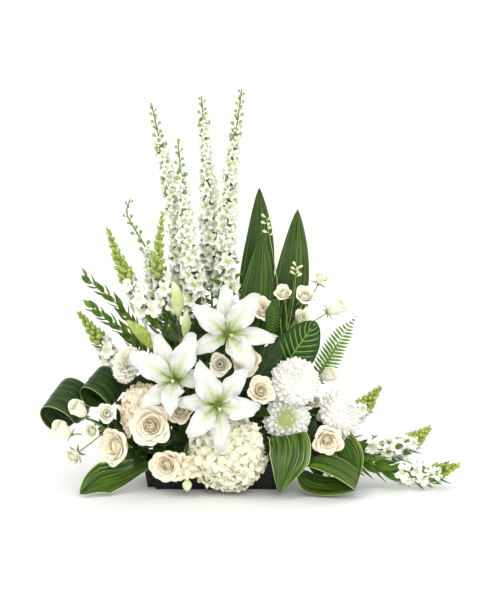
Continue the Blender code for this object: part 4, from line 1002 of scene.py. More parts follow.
def bud_radii(rows: int, sides: int, radius: float, widest: float, lobes: int, depth: float) -> Array:
    """Radii of a bud: a sine bent so that it is widest at that share, ribbed by lobes.

    Args:
        rows: rings along it.
        sides: sides of each ring.
        radius: its largest radius.
        widest: share of its length at which it is widest.
        lobes: how many ribs it has.
        depth: how deep the grooves between them are, as a share.

    Returns:
        Radii, rows by sides.
    """
    s = np.linspace(0.02, 0.985, rows)[:, None]
    swell = np.sin(np.pi * s ** (math.log(0.5) / math.log(widest))) ** 0.8
    turn = np.arange(sides)[None, :] / sides * 2 * np.pi
    return radius * swell * (1 - depth * (0.5 - 0.5 * np.cos(lobes * turn)))


def oval(t: Array) -> Array:
    """Outline of a broad leaf with a blunt tip."""
    return np.sin(np.pi * np.clip(t, 0.004, 0.996) ** 0.92) ** 0.55


def lance(t: Array) -> Array:
    """Outline of a long leaf, widest before the middle, with a drawn-out tip."""
    return np.sin(np.pi * np.clip(t, 0.002, 0.998) ** 0.78) ** 0.75


def strap(t: Array) -> Array:
    """Outline of a strap leaf: broad nearly all the way, pointed at its end."""
    return np.clip(np.minimum(np.sqrt(t * 8.0), np.sqrt((1 - t) * 5.0)), 0.01, 1.0)


def tongue(t: Array) -> Array:
    """Outline of a draped leaf: broad over its bend, then drawn in to a point."""
    return np.clip(np.minimum(np.sqrt(t * 7.0), (2.3 * (1 - t)) ** 0.8), 0.01, 1.0)


def spoon(t: Array) -> Array:
    """Outline of a leaf that widens to two thirds of its length and ends in a short point."""
    return np.clip(np.minimum(0.42 + 0.95 * t, (2.7 * (1 - t)) ** 0.7), 0.01, 1.0)


def leaf_grid(
    way: Route,
    half_width: float,
    outline: Callable[[Array], Array],
    side: Sequence[float],
    rows: int,
    cols: int,
    fold: float = 0.0,
    rib: float = 0.0,
    wave: float = 0.0,
    waves: float = 3.0,
) -> Array:
    """A leaf's surface, carried along its midrib.

    Args:
        way: the midrib.
        half_width: its largest half width.
        outline: share of that at each share of its length.
        side: the direction of its width.
        rows: points along it.
        cols: points across it.
        fold: how far its edges are lifted, as a share of its half width.
        rib: how deep the midrib is pressed, in metres.
        wave: how far its edges wave, as a share of its half width.
        waves: how many waves it has.

    Returns:
        Its points, 1 by rows by columns by 3.
    """
    t = np.linspace(0, 1, rows)
    u = np.linspace(-1, 1, cols)[None, :, None]
    forward = way.along(t)
    across = unit(np.array(side) - forward * (forward @ np.array(side))[:, None])
    normal = np.cross(across, forward)[:, None]
    half = (half_width * outline(t))[:, None, None]
    t = t[:, None, None]
    bend = fold * np.sqrt(u**2 + 0.01) + wave * u**2 * np.sin(2 * np.pi * waves * t + 2.2 * u)
    pressed = rib * np.exp(-((u / 0.06) ** 2))
    grid = way.at(t[:, 0, 0])[:, None] + across[:, None] * u * half + normal * (half * bend - pressed)
    return grid[None]


def small_leaves(
    sheaf: Sheaf,
    feet: Array,
    directions: Array,
    sides: Array,
    lengths: Array,
    halves: Array,
    finish: Finish,
    droop: float = 0.15,
    rows: int = 9,
) -> None:
    """Adds narrow leaves that arch over under their own weight.

    Args:
        sheaf: what they go into.
        feet: their roots.
        directions: the directions in which they set out.
        sides: the directions of their width.
        lengths: their lengths.
        halves: their half widths.
        finish: their finish.
        droop: how far the tip drops, as a share of the length.
        rows: points along each.
    """
    forward = unit(directions)
    across = unit(sides - forward * (forward * sides).sum(-1, keepdims=True))
    normal = np.cross(across, forward)
    t = np.linspace(0, 1, rows)[None, :, None, None]
    u = np.linspace(-1, 1, 5)[None, None, :, None]
    lengths, halves = (np.broadcast_to(v, len(feet))[:, None, None, None] for v in (lengths, halves))
    wide = halves * np.sin(np.pi * np.clip(t, 0.01, 0.985) ** 0.75)
    grid = (
        feet[:, None, None]
        + forward[:, None, None] * lengths * t
        - UP * droop * lengths * t**2
        + across[:, None, None] * u * wide
        + normal[:, None, None] * np.abs(u) * wide * 0.35
    )
    sheaf.blades(grid, NARROW_LEAF, finish)


def filler(
    sheaf: Sheaf,
    way: Route,
    shares: tuple[float, float],
    count: int,
    length: float,
    half: float = 0.17,
    finish: Finish = DARK_LEAF,
    turns: tuple[float, float] = (-0.3, 3.44),
) -> None:
    """Adds leaves that stand off a stem to its sides and its back, with their faces to the front.

    Leaf i turns by the golden share of the range of turns from the one before.

    Args:
        sheaf: what they go into.
        way: the stem's line.
        shares: the stretch of the stem that carries them.
        count: how many there are.
        length: the length of the lowest, and the others are shorter.
        half: half width as a share of the length.
        finish: their finish.
        turns: the range of their turns round the stem.
    """
    place = (np.arange(count) + 0.5) / count
    share = shares[0] + (shares[1] - shares[0]) * place
    turn = turns[0] + (turns[1] - turns[0]) * (np.arange(count) * GOLDEN_SHARE % 1.0)
    out = around(way, share, turn, 0.55)
    long = length * (1 - 0.3 * place)
    small_leaves(sheaf, way.at(share), out, np.cross(out, [0.2, -1.0, 0.35]), long, long * half, finish)


@dataclass
class LilyStalk(Piece):
    """A leafy stalk that carries one open lily, and perhaps buds above it.

    A bud is (share of the stalk, foot, tip, radius, finish).
    """

    entry: Array
    lean: Sequence[float]
    base: Array
    facing: Sequence[float]
    crown: Sequence[Array] = ()
    buds: Sequence[tuple] = ()

    slot = "stem_green"

    def gather(self, sheaf: Sheaf) -> None:
        """Adds the stalk, the bloom's own stalk, the buds and the leaves."""
        axis = unit(self.facing)
        behind = self.base - axis * 0.012
        if len(self.crown):
            main = Route([self.entry, *self.crown])
            sheaf.stem(main, (0.0038, 0.0024), STEM)
            fork = main.at(0.52)
            way = Route([fork, (fork + behind) / 2 + UP * 0.004, behind, self.base - axis * 0.0003])
            sheaf.stem(way, (0.0028, 0.0044), PALE_STEM, 14, 10, rooted=False)
        else:
            main = bloom_way(self.entry, self.lean, behind, self.facing)
            line = Route([*main.at(np.linspace(0, 1, 8)), self.base - axis * 0.0003])
            sheaf.stem(line, (0.0038, 0.0044), STEM, 30, 10)
        for share, foot, tip, radius, finish in self.buds:
            start = main.at(share)
            way = Route([start, start + (foot - start) * 0.6 - UP * 0.004, foot])
            sheaf.stem(way, (0.0022, 0.0028), PALE_STEM, 10, 8, rooted=False)
            side = unit(np.cross(tip - foot, [0.2, -1.0, 0.1])) * 0.05
            s = np.linspace(-0.03, 1, 18)[:, None]
            line = foot + (tip - foot) * s + side * np.linalg.norm(tip - foot) * np.sin(np.pi * s)
            sheaf.tube(line, bud_radii(18, 18, radius, 0.45, 3, 0.16), 18, finish)
        filler(sheaf, main, (0.10, 0.86), 16, 0.078)


def rose_outline(t: Array) -> Array:
    """A rose petal's outline: narrow claw, full by its middle, hardly less at its rim."""
    return 0.30 + 0.70 * np.sin(np.pi / 2 * np.clip(t * 1.55, 0, 1)) - 0.10 * t**4


def rose_edge(u: Array) -> Array:
    """A rose petal's rim: round, with the least point in its middle."""
    return 1 - 0.34 * np.abs(u) ** 2.6 + 0.03 * np.exp(-((u / 0.16) ** 2))


def rose_relief(t: Array, u: Array, phase: Array) -> Array:
    """Uneven swells, and edges that roll back towards the rim."""
    swell = 0.05 * np.sin(2 * np.pi * (t * 1.1 + phase)) * np.cos(2.4 * u + TURN * phase)
    roll = -0.16 * np.abs(u) ** 3 * t**3
    return (swell + roll) * t


ROSE_FORM = PetalForm(14, 11, (0.0, 0.22, 0.55, 0.80, 1.0), rose_outline, rose_relief, rose_edge, 2.1)


def rose_grids(radius: float, count: int, openness: float, draw: np.random.Generator) -> Array:
    """The petals of a rose, from the tight spiral at its heart to its open outer ones.

    Petal i stands at the golden angle from the one before. Inner petals climb steeply and wrap
    round the heart, and outer ones lean out and roll back at their rim.

    Args:
        radius: the bloom's radius.
        count: how many petals it has.
        openness: how far the outer ones are opened, from 0 to 1.
        draw: the random draw for their small differences.

    Returns:
        Their points in the bloom's own frame.
    """
    i = np.arange(count)
    share = (i + 0.6) / (count - 0.4)
    jitter = draw.uniform(-1, 1, (4, count))
    turn = GOLDEN_ANGLE * i + 0.12 * jitter[0]
    tight = np.array([30.0, 16.0, 2.0, -14.0, -30.0])
    full = np.array([80.0, 50.0, 18.0, 46.0, 148.0])
    bend = share[:, None] ** 1.25 * openness
    leans = tight * (1 - bend) + full * bend + 5 * jitter[1][:, None]
    length = radius * (1.02 + 0.40 * share + 0.04 * jitter[2])
    half = radius * (0.36 + 0.40 * share) * (1 + 0.08 * jitter[3])
    root = np.stack([radius * (0.03 + 0.13 * share), radius * (0.06 + 0.04 * (1 - share))], -1)
    grids = ROSE_FORM.grids(turn, root, leans, length, half, draw.random(count))
    return grids * radius / np.hypot(grids[..., 0], grids[..., 1]).max()


@dataclass
class RoseBloom(Piece):
    """A full rose on its base point."""

    base: Array
    facing: Sequence[float]
    radius: float
    petals: int

    slot = "cream_petal"

    def gather(self, sheaf: Sheaf) -> None:
        """Adds the petals round a small heart."""
        grids = rose_grids(self.radius, self.petals, 1.0, self.draw())
        sheaf.blades(placed(grids, facing_frames(self.facing), [self.base]), ROSE_PETAL, ROSE)
        line = self.base + unit(self.facing) * np.linspace(0.0, self.radius * 0.93, 8)[:, None]
        sheaf.tube(line, bud_radii(8, 10, self.radius * 0.10, 0.55, 1, 0.0), 10, ROSE)


def sepals(sheaf: Sheaf, base: Array, facing: Sequence[float], size: float) -> None:
    """Adds the five narrow sepals that spread under a rose.

    Args:
        sheaf: what they go into.
        base: the bloom's base.
        facing: the way it faces.
        size: their length.
    """
    form = PetalForm(8, 5, (0.0, 0.5, 1.0), lambda t: np.sin(np.pi * np.clip(t, 0.03, 0.985) ** 0.6),
                     lambda t, u, phase: 0.25 * u**2, wrap=1.0)
    turn = 2 * np.pi * np.arange(5) / 5
    ones = np.ones(5)
    root = np.stack([0.10 * size * ones, -0.05 * size * ones], -1)
    leans = np.tile([95.0, 75.0, 105.0], (5, 1))
    grids = form.grids(turn, root, leans, size * ones, size * 0.16 * ones, ones)
    sheaf.blades(placed(grids, facing_frames(facing), [base]), ROSE_PETAL, SEPAL)


@dataclass
class RoseStem(Piece):
    """A rose's stem, its hip and the sepals that spread under the bloom."""

    entry: Array
    lean: Sequence[float]
    base: Array
    facing: Sequence[float]
    rising: Sequence[float]

    STEM = 0.0026
    HIP = (0.00234, 0.0042, 0.0062, 0.00558)
    slot = "stem_green"

    def gather(self, sheaf: Sheaf) -> None:
        """Adds the stem with its hip, and the sepals."""
        axis = unit(self.facing)
        way = bloom_way(self.entry, self.lean, self.base - axis * 0.009, self.rising)
        sheaf.stem(way, (self.STEM, self.STEM), STEM, 20)
        hip = self.base - axis * np.array([0.011, 0.008, 0.004, 0.0003])[:, None]
        sheaf.tube(hip, self.HIP, 12, SEPAL)
        sepals(sheaf, self.base - axis * 0.001, self.facing, 0.020)
        filler(sheaf, way, (0.30, 0.90), 9, 0.050, 0.28, turns=ALL_ROUND)


@dataclass
class HalfHiddenRose(Piece):
    """A rose that shows only partly between the others: stem and bloom in one."""

    entry: Array
    lean: Sequence[float]
    base: Array
    facing: Sequence[float]
    radius: float

    slot = "cream_petal"

    def gather(self, sheaf: Sheaf) -> None:
        """Adds the stem, the sepals and the petals."""
        axis = unit(self.facing)
        way = bloom_way(self.entry, self.lean, self.base + axis * 0.003, self.facing)
        sheaf.stem(way, (0.0026, 0.0024), STEM, 20)
        sepals(sheaf, self.base, self.facing, 0.018)
        filler(sheaf, way, (0.20, 0.90), 8, 0.060, 0.28)
        grids = rose_grids(self.radius, 24, 0.9, self.draw())
        sheaf.blades(placed(grids, facing_frames(self.facing), [self.base]), ROSE_PETAL, ROSE)


@dataclass
class Spray(Piece):
    """Small roses on one branching stem, (share, centre, facing, radius, open), and budded twigs.

    A twig is (share of the stem, tip). OPEN and CLOSED are (growth of the radius, petals, openness).
    """

    entry: Array
    line: Sequence[Array]
    roses: Sequence[tuple]
    twigs: Sequence[tuple[float, Array]] = ()

    OPEN = (1.0, 16, 0.85)
    CLOSED = (1.05, 11, 0.30)
    slot = "cream_petal"

    def gather(self, sheaf: Sheaf) -> None:
        """Adds the stem, its leaves, a bloom for each rose, and the twigs with their buds."""
        main = Route([self.entry, *self.line])
        sheaf.stem(main, (0.0024, 0.0016), STEM)
        draw = self.draw()
        for share, centre, facing, radius, is_open in self.roses:
            axis = unit(facing)
            base = centre - axis * radius * 0.6
            fork = main.at(share)
            bend = fork + (base - fork) * 0.55 - axis * radius * 0.5
            sheaf.stem(Route([fork, bend, base + axis * 0.002]), (0.0014, 0.0013), PALE_STEM, 12, 6, False)
            hip = base + axis * np.array([-0.005, -0.002, 0.001])[:, None]
            sheaf.tube(hip, [0.0015, 0.0034, 0.0030], 8, PALE_STEM)
            growth, petals, openness = self.OPEN if is_open else self.CLOSED
            grids = rose_grids(radius * growth, petals, openness, draw)
            sheaf.blades(placed(grids, facing_frames(facing), [base]), PETAL, SPRAY_ROSE)
            sepals(sheaf, base, facing, radius * 0.85)
        filler(sheaf, main, (0.25, 0.92), 11, 0.066, 0.20)
        for share, tip in self.twigs:
            fork = main.at(share)
            way = Route([fork, (fork + tip) / 2 + mm(5, 0, 8), tip])
            sheaf.stem(way, (0.0011, 0.0006), PALE_STEM, 14, 5, False)
            place = np.linspace(0.85, 0.99, 7)
            out = around(way, place, GOLDEN_ANGLE * np.arange(7), 0.5)
            lines = way.at(place)[:, None] + out[:, None] * 0.014 * np.linspace(0, 1, 7)[:, None]
            sheaf.tubes(lines, bud_radii(7, 6, 0.0030, 0.7, 1, 0.0)[None], 6, WHITE_BUD)


def ball(
    sheaf: Sheaf,
    centre: Array,
    facing: Sequence[float],
    size: Sequence[float],
    mesh: tuple[int, int],
    finish: Finish,
) -> None:
    """Adds the squat ball that fills the middle of a head.

    Args:
        sheaf: what it goes into.
        centre: the head's centre.
        facing: the way that the head faces.
        size: the ball's radius, and how far it reaches ahead and behind.
        mesh: how many rings and sides it has.
        finish: its finish.
    """
    radius, ahead, behind = size
    s = np.linspace(-1, 1, mesh[0])
    line = centre + unit(facing) * (np.where(s < 0, behind, ahead) * s)[:, None]
    sheaf.tube(line, radius * np.sqrt(np.maximum(1 - s**2, 0.004)), mesh[1], finish)


def ray_outline(t: Array) -> Array:
    """A ray petal's outline: a strap with a round tip."""
    return np.clip(np.minimum(0.45 + 1.6 * t, np.sqrt(np.clip((1 - t) * 6.0, 0, 1))), 0.05, 1.0)


@dataclass
class DomeFlower(Piece):
    """A flower whose many petals make a dome round a small core: the stem and the sizes.

    dome is (radius, front, back): how far the petals reach sideways, ahead and behind.
    """

    entry: Array
    lean: Sequence[float]
    centre: Array
    facing: Sequence[float]
    dome: tuple[float, float, float]

    def stem_and_frame(self, sheaf: Sheaf) -> Array:
        """Adds the stem and gives the head's turning matrix."""
        axis = unit(self.facing)
        root = self.centre - axis * (self.dome[2] - 0.002)
        way = bloom_way(self.entry, self.lean, root, self.facing)
        sheaf.stem(way, (0.0028, 0.0036), STEM, 20)
        filler(sheaf, way, (0.20, 0.90), 14, 0.068, 0.26)
        return facing_frames(self.facing)

    def core(self, sheaf: Sheaf, share: float, finish: Finish) -> None:
        """Adds the core: a squat ball that share of the dome's size."""
        size = [share * extent for extent in self.dome]
        ball(sheaf, self.centre, self.facing, size, (12, 16), finish)

    def shell(self, angles: Array, behind: float) -> tuple[Array, Array, Array]:
        """The dome's outer points at those angles.

        Args:
            angles: degrees off the axis.
            behind: how far the dome reaches behind.

        Returns:
            Radius and height of each point, its true degrees off the axis, and its distance.
        """
        radius, ahead, _ = self.dome
        rise = np.cos(np.radians(angles))
        aside = np.sqrt(1 - rise**2) * radius
        along = rise * np.where(rise > 0, ahead, behind)
        return np.stack([aside, along], -1), np.degrees(np.arctan2(aside, along)), np.hypot(aside, along)


@dataclass
class Chrysanthemum(DomeFlower):
    """A chrysanthemum: rays in golden-angle order from its middle to its underside."""

    rays: int = 190
    button: float = 0.0

    INNER = 0.44

    def gather(self, sheaf: Sheaf) -> None:
        """Adds the stem, the core, the rays and, on an open one, the green button."""
        frame = self.stem_and_frame(sheaf)
        self.core(sheaf, *((0.60, MUM_CORE) if self.button else (0.74, MUM)))
        radius, ahead, behind = self.dome
        draw = self.draw()
        i = np.arange(self.rays)
        share = (i + 0.5) / self.rays
        bare = self.button * 40
        spots, out, reach = self.shell(bare + (116 - bare) * share**0.62, behind)
        reach = reach * (1 - self.INNER)
        jitter = draw.uniform(-1, 1, (3, self.rays))
        start = out + 8 - 26 * (1 - share)
        bend = 34 * share - 74 * (1 - share) ** 1.5
        leans = np.stack([start, out + 0.3 * bend + 7 * jitter[0], out + bend + 14 * jitter[1]], -1)
        length = reach * (0.94 + 0.12 * share + 0.10 * jitter[2])
        form = PetalForm(7, 5, (0.0, 0.55, 1.0), ray_outline, lambda t, u, phase: 0.55 * u**2, even, 0.9, 0.16)
        half = 0.0036 + 0.0018 * share
        roots = spots * self.INNER
        grids = form.grids(GOLDEN_ANGLE * i, roots, leans, length, half, draw.random(self.rays))
        sheaf.blades(placed(grids, frame, [self.centre]), PETAL, MUM)
        if self.button:
            count = 60
            k = np.arange(count)
            tilt = np.radians(44) * np.sqrt((k + 0.5) / count)
            spin = GOLDEN_ANGLE * k
            way = np.stack([np.sin(tilt) * np.cos(spin), np.sin(tilt) * np.sin(spin), np.cos(tilt)], -1)
            feet = way * np.array([radius, radius, ahead]) * 0.48
            s = np.linspace(0, 0.009, 5)[None, :, None]
            lines = self.centre + (feet[:, None] + way[:, None] * s) @ frame[0].T
            sheaf.tubes(lines, np.array([0.0013, 0.0015, 0.0016, 0.0014, 0.0006])[None, :, None], 6, MUM_CORE)


def fringe(u: Array) -> Array:
    """A carnation petal's far edge: an arc cut into small teeth."""
    teeth = np.abs((u * 5.5) % 1.0 - 0.5) * 2
    return 1 - 0.16 * u**2 - 0.10 * teeth


@dataclass
class Carnation(DomeFlower):
    """A carnation: fans with frilled, toothed edges, packed into a dome."""

    FANS = 50
    CUP = (0.0036, 0.0060, 0.0075, 0.0085, 0.0090, 0.0085)

    def gather(self, sheaf: Sheaf) -> None:
        """Adds the stem, the core, the green calyx and the fans."""
        frame = self.stem_and_frame(sheaf)
        self.core(sheaf, 0.5, CARNATION)
        radius, _, behind = self.dome
        draw = self.draw()
        i = np.arange(self.FANS)
        share = (i + 0.5) / self.FANS
        spots, out, reach = self.shell(8 + 112 * share**0.6, behind * 0.6)
        jitter = draw.uniform(-1, 1, (2, self.FANS))
        leans = np.stack([out - 14, out + 4 * jitter[0], out + 34 * share + 12 * jitter[1]], -1)
        form = PetalForm(
            9, 23, (0.0, 0.6, 1.0), lambda t: 0.14 + 0.86 * t**1.3,
            lambda t, u, phase: 0.22 * t**2 * np.sin(9 * u + TURN * phase) + 0.05 * np.sin(23 * u) * t**3,
            fringe, 1.2,
        )
        half = np.full(self.FANS, radius * 0.54)
        grids = form.grids(
            GOLDEN_ANGLE * i, spots * 0.15, leans, reach * 0.90, half, draw.random(self.FANS)
        )
        sheaf.blades(placed(grids, frame, [self.centre]), PETAL, CARNATION)
        cup = self.centre - unit(self.facing) * np.linspace(behind, 0.002, len(self.CUP))[:, None]
        sheaf.tube(cup, self.CUP, 10, SEPAL)


def round_floret(spread: float) -> Array:
    """A floret of four round ruffled petals, in its own frame, with that radius."""
    form = PetalForm(
        6, 7, (0.0, 0.5, 1.0), lambda t: 0.22 + 0.78 * np.sin(np.pi / 2 * np.clip(t * 1.5, 0, 1)),
        lambda t, u, phase: 0.20 * u**2 - 0.12 * np.exp(-((u / 0.2) ** 2))
        + 0.20 * t * np.sin(7 * t + 5 * u + TURN * phase),
        lambda u: 1 - 0.42 * np.abs(u) ** 2.4, 0.85,
    )
    four = np.arange(4)
    root = np.tile([spread * 0.05, 0.0], (4, 1))
    leans = np.tile([48.0, 72.0, 104.0], (4, 1)) + np.array([[0], [6], [-4], [3]])
    length = spread * np.array([1.0, 0.94, 1.02, 0.96])
    return form.grids(four * np.pi / 2, root, leans, length, length * 0.80, four / 4)


@dataclass
class Hydrangea(Piece):
    """A mophead: florets of four round petals that cover a smaller core.

    size is (across, upward, ahead, behind), and spread the floret's radius.
    """

    entry: Array
    lean: Sequence[float]
    centre: Array
    facing: Sequence[float]
    size: tuple[float, float, float, float]
    spread: float
    count: int
    finish: Finish
    slot: str = "white_petal"

    LOWEST = -0.55
    CORE = 0.80

    def gather(self, sheaf: Sheaf) -> None:
        """Adds the stem, the core, and the florets with a bead in each."""
        across, upward, ahead, behind = self.size
        axis = unit(self.facing)
        head = facing_frames(self.facing)[0]
        way = bloom_way(self.entry, self.lean, self.centre - axis * behind * 0.6, self.facing)
        sheaf.stem(way, (0.0036, 0.0044), STEM, 20)
        filler(sheaf, way, (0.25, 0.80), 12, 0.080, 0.30, turns=ALL_ROUND)
        size = [self.CORE * extent for extent in (min(across, upward), ahead, behind)]
        ball(sheaf, self.centre, self.facing, size, (14, 20), self.finish)
        draw = self.draw()
        i = np.arange(self.count)
        rise = 1 - (1 - self.LOWEST) * (i + 0.5) / self.count
        ring = np.sqrt(1 - rise**2)
        turn = GOLDEN_ANGLE * i + 0.10 * draw.uniform(-1, 1, self.count)
        way_out = np.stack([ring * np.cos(turn), ring * np.sin(turn), rise], -1)
        depth = np.where(rise > 0, ahead, behind)
        scale = np.stack([np.full(self.count, across), np.full(self.count, upward), depth], -1)
        normal = unit(way_out / scale) + 0.30 * draw.uniform(-1, 1, (self.count, 3))
        spot = way_out * scale * (0.93 + 0.08 * draw.uniform(-1, 1, self.count))[:, None]
        origins = self.centre + (spot - unit(normal) * self.spread * 0.30) @ head.T
        frames = facing_frames(normal @ head.T, draw.uniform(0, TURN, self.count))
        petals = round_floret(self.spread)
        scales = 0.92 + 0.12 * draw.random(self.count)
        tint = np.repeat(draw.random(self.count), 4)
        sheaf.blades(placed(petals, frames, origins, scales), PETAL, self.finish, tint)
        s = np.linspace(-0.0010, 0.0024, 5)[None, :, None]
        beads = origins[:, None] + frames[:, None, :, 2] * s
        sheaf.tubes(beads, np.array([0.0008, 0.0015, 0.0017, 0.0014, 0.0006])[None, :, None], 6, GREEN_BUD)


@dataclass
class Larkspur(Piece):
    """A larkspur: leaves low down, open florets over span, each with a bract, and buds to its tip."""

    points: Sequence[Array]
    florets: int
    span: tuple[float, float]
    buds: int
    bud_from: float | None = None

    REACH = 0.0195
    slot = "spike_green"

    def gather(self, sheaf: Sheaf) -> None:
        """Adds the stem, its lower leaves, the florets on their short stalks, the bracts and the buds."""
        way = Route(self.points)
        sheaf.stem(way, (0.0026, 0.0013), SEPAL, 40, 6)
        filler(sheaf, way, (0.12, 0.52), 24, 0.054, 0.11, SMALL_LEAF, (2.7, 6.7))
        draw = self.draw()
        share, place = stations(self.florets, *self.span)
        turn = GOLDEN_ANGLE * np.arange(self.florets) + 0.3 * draw.uniform(-1, 1, self.florets)
        out = around(way, share, turn, 0.25 + 0.2 * draw.uniform(-1, 1, self.florets))
        size = (1.02 - 0.52 * place**1.6) * (0.86 + 0.28 * draw.random(self.florets))
        foot = way.at(share)
        base = foot + out * (size * draw.uniform(0.005, 0.013, self.florets))[:, None]
        s = np.linspace(0, 1, 4)[None, :, None]
        sheaf.tubes(foot[:, None] + (base - foot)[:, None] * s, 0.0006, 5, STEM)
        rise = around(way, share, turn + 0.9, 0.5)
        small_leaves(sheaf, foot, rise, np.cross(rise, out), 0.022 * size, 0.0024, SMALL_LEAF, 0.0, 5)
        shape = (
            (0.0, 0.4, 1.0), lambda t: np.sin(np.pi * np.clip(t, 0.06, 0.97) ** 0.80) ** 0.7,
            lambda t, u, phase: 0.22 * u**2 - 0.12 * np.exp(-((u / 0.25) ** 2))
            + 0.16 * u * np.sin(6 * t + TURN * phase), even, 0.9,
        )
        outer = PetalForm(5, 5, *shape)
        five = np.arange(5)
        root = np.tile([0.0008, 0.0], (5, 1))
        leans = np.tile([22.0, 62.0, 84.0], (5, 1)) + np.array([[-6], [5], [0], [8], [-3]])
        length = np.full(5, self.REACH)
        grids = outer.grids(2 * np.pi * five / 5, root, leans, length, length * 0.47, five / 5)
        frames = facing_frames(out, turn)
        tint = np.repeat(draw.random(self.florets), 5)
        sheaf.blades(placed(grids, frames, base, size), SPIKE_PETAL, LARKSPUR, tint)
        small = PetalForm(4, 3, *shape).grids(
            2 * np.pi * (five[:3] / 3), root[:3], leans[:3] * 0.55, length[:3] * 0.72, length[:3] * 0.22,
            five[:3] / 3,
        )
        sheaf.blades(placed(small, frames, base, size), SPIKE_PETAL, WHITE_BUD)
        self._buds(sheaf, way)

    def _buds(self, sheaf: Sheaf, way: Route) -> None:
        """Adds the buds, smaller towards the tip, each on its own short stalk."""
        start = self.span[1] - 0.04 if self.bud_from is None else self.bud_from
        share, place = stations(self.buds, start, 0.985)
        out = around(way, share, GOLDEN_ANGLE * np.arange(self.buds) + 1.0, 0.8)
        length = (0.0200 - 0.0100 * place)[:, None, None]
        foot = way.at(share)[:, None]
        s = np.linspace(0, 1, 8)[None, :, None]
        sheaf.tubes(foot + out[:, None] * length * 0.5 * s[:, ::2], 0.0006, 5, STEM)
        radii = bud_radii(8, 8, 1.0, 0.6, 5, 0.1)[None] * (0.0046 - 0.0020 * place)[:, None, None]
        sheaf.tubes(foot + out[:, None] * length * (0.4 + 0.6 * s), radii, 8, PALE_STEM)


Zone = tuple[int, float, float]


@dataclass
class Snapdragon(Piece):
    """A snapdragon: leaves low down, two-lipped florets with a bract at each, then a cone of buds.

    Each zone is (how many, first share, last share).
    """

    points: Sequence[Array]
    leaves: Zone
    florets: Zone
    buds: Zone

    DENSITY = 2.8
    slot = "spike_green"

    def gather(self, sheaf: Sheaf) -> None:
        """Adds the stem, the leaves, the florets with their bracts, and the buds."""
        way = Route(self.points)
        sheaf.stem(way, (0.0026, 0.0010), PALE_STEM, 36, 6)
        filler(sheaf, way, (0.15, self.leaves[1] + 0.05), 8, 0.062, 0.24)
        number, shares, place = self._stations(self.leaves)
        out = around(way, shares, GOLDEN_ANGLE * np.arange(number), 1.0)
        sides = np.cross(way.along(shares), out)
        small_leaves(sheaf, way.at(shares), out, sides, 0.054 - 0.012 * place, 0.0080, SMALL_LEAF, 0.05)
        count, shares, place = self._stations(self.florets)
        turns = GOLDEN_ANGLE * (number + np.arange(count))
        out = around(way, shares, turns, 0.35)
        self._lips(sheaf, way.at(shares), out, 0.0185 - 0.005 * place)
        rise = out + 0.8 * way.along(shares)
        small_leaves(sheaf, way.at(shares), rise, np.cross(rise, out), 0.030, 0.0050, SMALL_LEAF, 0.0, 6)
        number += count
        count, shares, place = self._stations(self.buds)
        turns = GOLDEN_ANGLE * (number + np.arange(count))
        out = around(way, shares, turns, 0.55 + 0.5 * place)
        size = (1 - 0.62 * place)[:, None, None]
        s = np.linspace(0, 1, 9)[None, :, None]
        bend = UP * 0.12 * s**2
        lines = way.at(shares)[:, None] + (out[:, None] * s + bend) * 0.022 * size
        sheaf.tubes(lines, bud_radii(9, 7, 0.0066, 0.6, 2, 0.12)[None] * size, 7, GREEN_BUD)

    def _stations(self, zone: Zone) -> tuple[int, Array, Array]:
        """How many stations a zone has, their shares of the stem, and their place in the zone.

        The fine spike has more of them than the zone counts, at true size.
        """
        count = int(zone[0] * self.DENSITY)
        return count, *stations(count, *zone[1:])

    @staticmethod
    def _lips(sheaf: Sheaf, feet: Array, out: Array, size: Array) -> None:
        """Adds the florets: a short throat, two lobes above and three below, frilled at the rim."""
        form = PetalForm(
            7, 5, (0.0, 0.45, 0.7, 1.0), lambda t: 0.40 + 0.60 * np.sin(np.pi / 2 * np.clip(t * 1.3, 0, 1)),
            lambda t, u, phase: 0.20 * np.sin(7 * u + TURN * phase) * t**3 - 0.15 * u**2 * t,
            lambda u: 1 - 0.34 * np.abs(u) ** 2.2, 1.0,
        )
        turn = np.radians([60.0, 120.0, 205.0, 270.0, 335.0])
        root = np.tile([0.12, 0.0], (5, 1))
        leans = np.array([[12, 10, 50, 118], [12, 10, 50, 118], [14, 12, 75, 128], [16, 14, 80, 135],
                          [14, 12, 75, 128]])
        length = np.array([1.9, 1.9, 1.7, 1.8, 1.7])
        grids = form.grids(turn, root, leans, length, np.array([0.66, 0.66, 0.58, 0.64, 0.58]),
                           np.arange(5) / 5)
        sheaf.blades(placed(grids, facing_frames(out), feet, size), PETAL, SNAPDRAGON)
        s = np.linspace(0, 1, 6)[None, :, None]
        lines = feet[:, None] + out[:, None] * size[:, None, None] * 0.6 * s
        radii = np.array([0.10, 0.26, 0.30, 0.30, 0.28, 0.16])[None, :, None] * size[:, None, None]
        sheaf.tubes(lines, radii, 8, WHITE_BUD)


@dataclass
class LeafyStem(Piece):
    """A young leafy side stem with upswept narrow leaves to its tip."""

    points: Sequence[Array]
    count: int

    DENSITY = 3
    slot = "stem_green"

    def gather(self, sheaf: Sheaf) -> None:
        """Adds the stem and the leaves."""
        way = Route(self.points)
        sheaf.stem(way, (0.0024, 0.0009), PALE_STEM, 30, 6)
        count = self.count * self.DENSITY
        share, place = stations(count, 0.40, 0.99)
        out = around(way, share, GOLDEN_ANGLE * np.arange(count), 1.08)
        small_leaves(sheaf, way.at(share), out, np.cross(way.along(share), out), 0.042 - 0.018 * place,
                     0.0056, SMALL_LEAF, 0.0)


